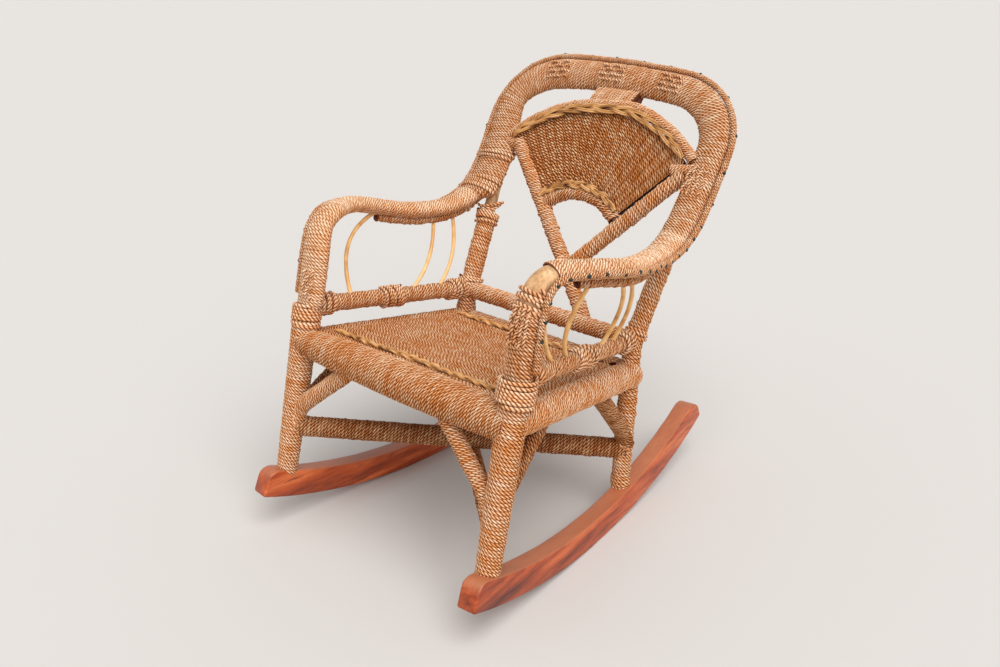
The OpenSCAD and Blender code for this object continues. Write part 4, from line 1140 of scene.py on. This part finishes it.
def loop(points):
    """A smooth line through a few points."""
    p = np.array(points, float)
    p = np.concatenate([[2 * p[0] - p[1]], p, [2 * p[-1] - p[-2]]])
    out = []
    for a, b, c, d in zip(p, p[1:], p[2:], p[3:]):
        for f in np.linspace(0, 1, 12, endpoint=False):
            out.append(curve_between(a, b, c, d, f))
    return np.array(out + [p[-2]])


for s, which in SIDES:
    leg, post, arm = (LEG[s][key] for key in ("leg", "post", "arm"))
    top, knee, end, a = leg.length, post.length * 0.62, post.length, arm.length
    lines = [lash(leg, top - 8, top + 20, 6.4, 2.2 if s == RIGHT else -0.6, 21 + s, 0.5, 1.0)]
    lashing(f"post_binding_{which}", lines, 700 + s, ply=5.2)
    if s == LEFT:
        lines = [lash(post, knee - 2, knee + 24, 6, 1.9, 31 + s, 1.2),
                 lash(post, end - 16, end + 1, 4, 1.2, 33 + s, 1.1)]
    else:
        lines = [lash(post, knee + 6, knee + 16, 2.4, 0.8, 31 + s, 0.8)]
    lashing(f"rear_post_lashing_{which}", lines, 710 + s)
    lines = [lash(arm, 0.06 * a, 0.14 * a, 4, 1.8, 41 + s, 1.5),
             lash(arm, 0.43 * a, 0.56 * a, 8, 1.4, 43 + s, 1.2),
             lash(arm, 0.86 * a, 0.96 * a, 4.5, 1.6, 45 + s, 1.4)]
    lashing(f"arm_rail_lashing_{which}", lines, 720 + s, HOOP, r=2.0, ply=4.8)
cross = fan(7.5, -3, -17)
pole_l, pole_r = (unit(fan(*head) - fan(*foot)) for head, foot in (POLE_LEFT, POLE_RIGHT))
lines = []
for axis, across, seed in ((unit(pole_l - pole_r), 15.5, 51), (unit(pole_l + pole_r), 13.5, 52)):
    core = straight(cross - axis * 12, cross + axis * 12, across, face=FAN_FRONT)
    core.b = core.b * 0 + 11.5
    lines.append(lash(core, 2, 22, 5, 2.0, seed, 0.9))
lashing("fan_crossing_lashing", lines, 730, ply=5.2)

# Coarse turns over the bare pole at the right arm's front bend.
coarse = band(BARE_TO + 0.02, BARE_TO + 1.1)
lines = [lash(coarse, 1, coarse.length * 0.46, 3.0, -1.6, 61, 0.8, 2.4),
         lash(coarse, coarse.length * 0.52, coarse.length - 1, 3.0, -1.8, 62, 0.6, 2.4)]
lashing("post_coarse_turns_right", lines, 740, HOOP, 2.4, 5.4)

# Loose loops by the head of the left rear post, and turns that tie the hoop to it.
head = mix(side(REAR_KNEE, LEFT), side(REAR_HEAD, LEFT), 0.78)
over = ((-16, -8, 2), (-8, -15, 3), (4, -14, 5), (13, -6, 6), (18, 2, 8), (14, 7, 5), (6, -13, 1),
        (-6, -16, -3))
under = ((-10, 10, 0), (-15, -2, -2), (-9, -12, -4), (3, -14, -3), (12, -6, 0), (12, 6, 2))
lashing("rear_post_loops_left", [loop([head + q for q in points]) for points in (over, under)], 750, r=2.0)
tie = band(13.3, 15.6)
lines = [lash(tie, 1, 22, 5, 0.5, 71, 1.0), lash(tie, tie.length - 14, tie.length - 2, 2, 0.9, 72, 0.6)]
lashing("hoop_post_turns_left", lines, 760, HOOP, 2.1)

# ---- Tacks along the edging cord: small domed heads, closer together on the arms ----

TACK_R, TACK_RISE, BACK_STEP, ARM_STEP = 2.1, 1.5, 42.0, 21.0


def edge_tacks():
    t = np.linspace(1.6, LAST - 1.8, 4000)
    c, u, v, w = hoop_frame(t)
    on_back = (t > 14) & (t < LAST - 14)
    steps = np.where(on_back[1:], BACK_STEP, ARM_STEP)
    due = np.concatenate([[0], np.cumsum(np.diff(distance_along(c)) / steps)])
    shell = Shell()
    q = np.radians(np.arange(0, 360, 30))[:, None]
    for i in range(int(due[-1]) + 1):
        k = int(np.searchsorted(due, i))
        h = c[k] - u[k] * (w[k] / 2 + EDGE_CORD_D - 0.6) + v[k] * 1.2 * math.sin(i * 2.3)
        x = unit(np.cross(u[k], v[k]))
        r = TACK_R + 0.25 * math.sin(i * 1.7)
        rings = []
        for a in np.radians([0, 2, 24, 46, 66, 82, 90]):
            rise = TACK_RISE * math.sin(a) - (1.2 if a == 0 else 0)
            rings.append(h - u[k] * rise + r * max(math.cos(a), 0.06) * (v[k] * np.cos(q) + x * np.sin(q)))
        shell.close(shell.grid(np.array(rings)), len(rings), len(q))
    shell.make("edge_tacks", TACK)


edge_tacks()

# ---- CAD nodes that show as they are ----

finishes = {"pole_wood": POLE, "cane": CANE}
for name, slot in SLOT.items():
    node = frame["nodes"][name]
    if not node.hide_render and slot in finishes:
        node.data.materials.clear()
        node.data.materials.append(finishes[slot])
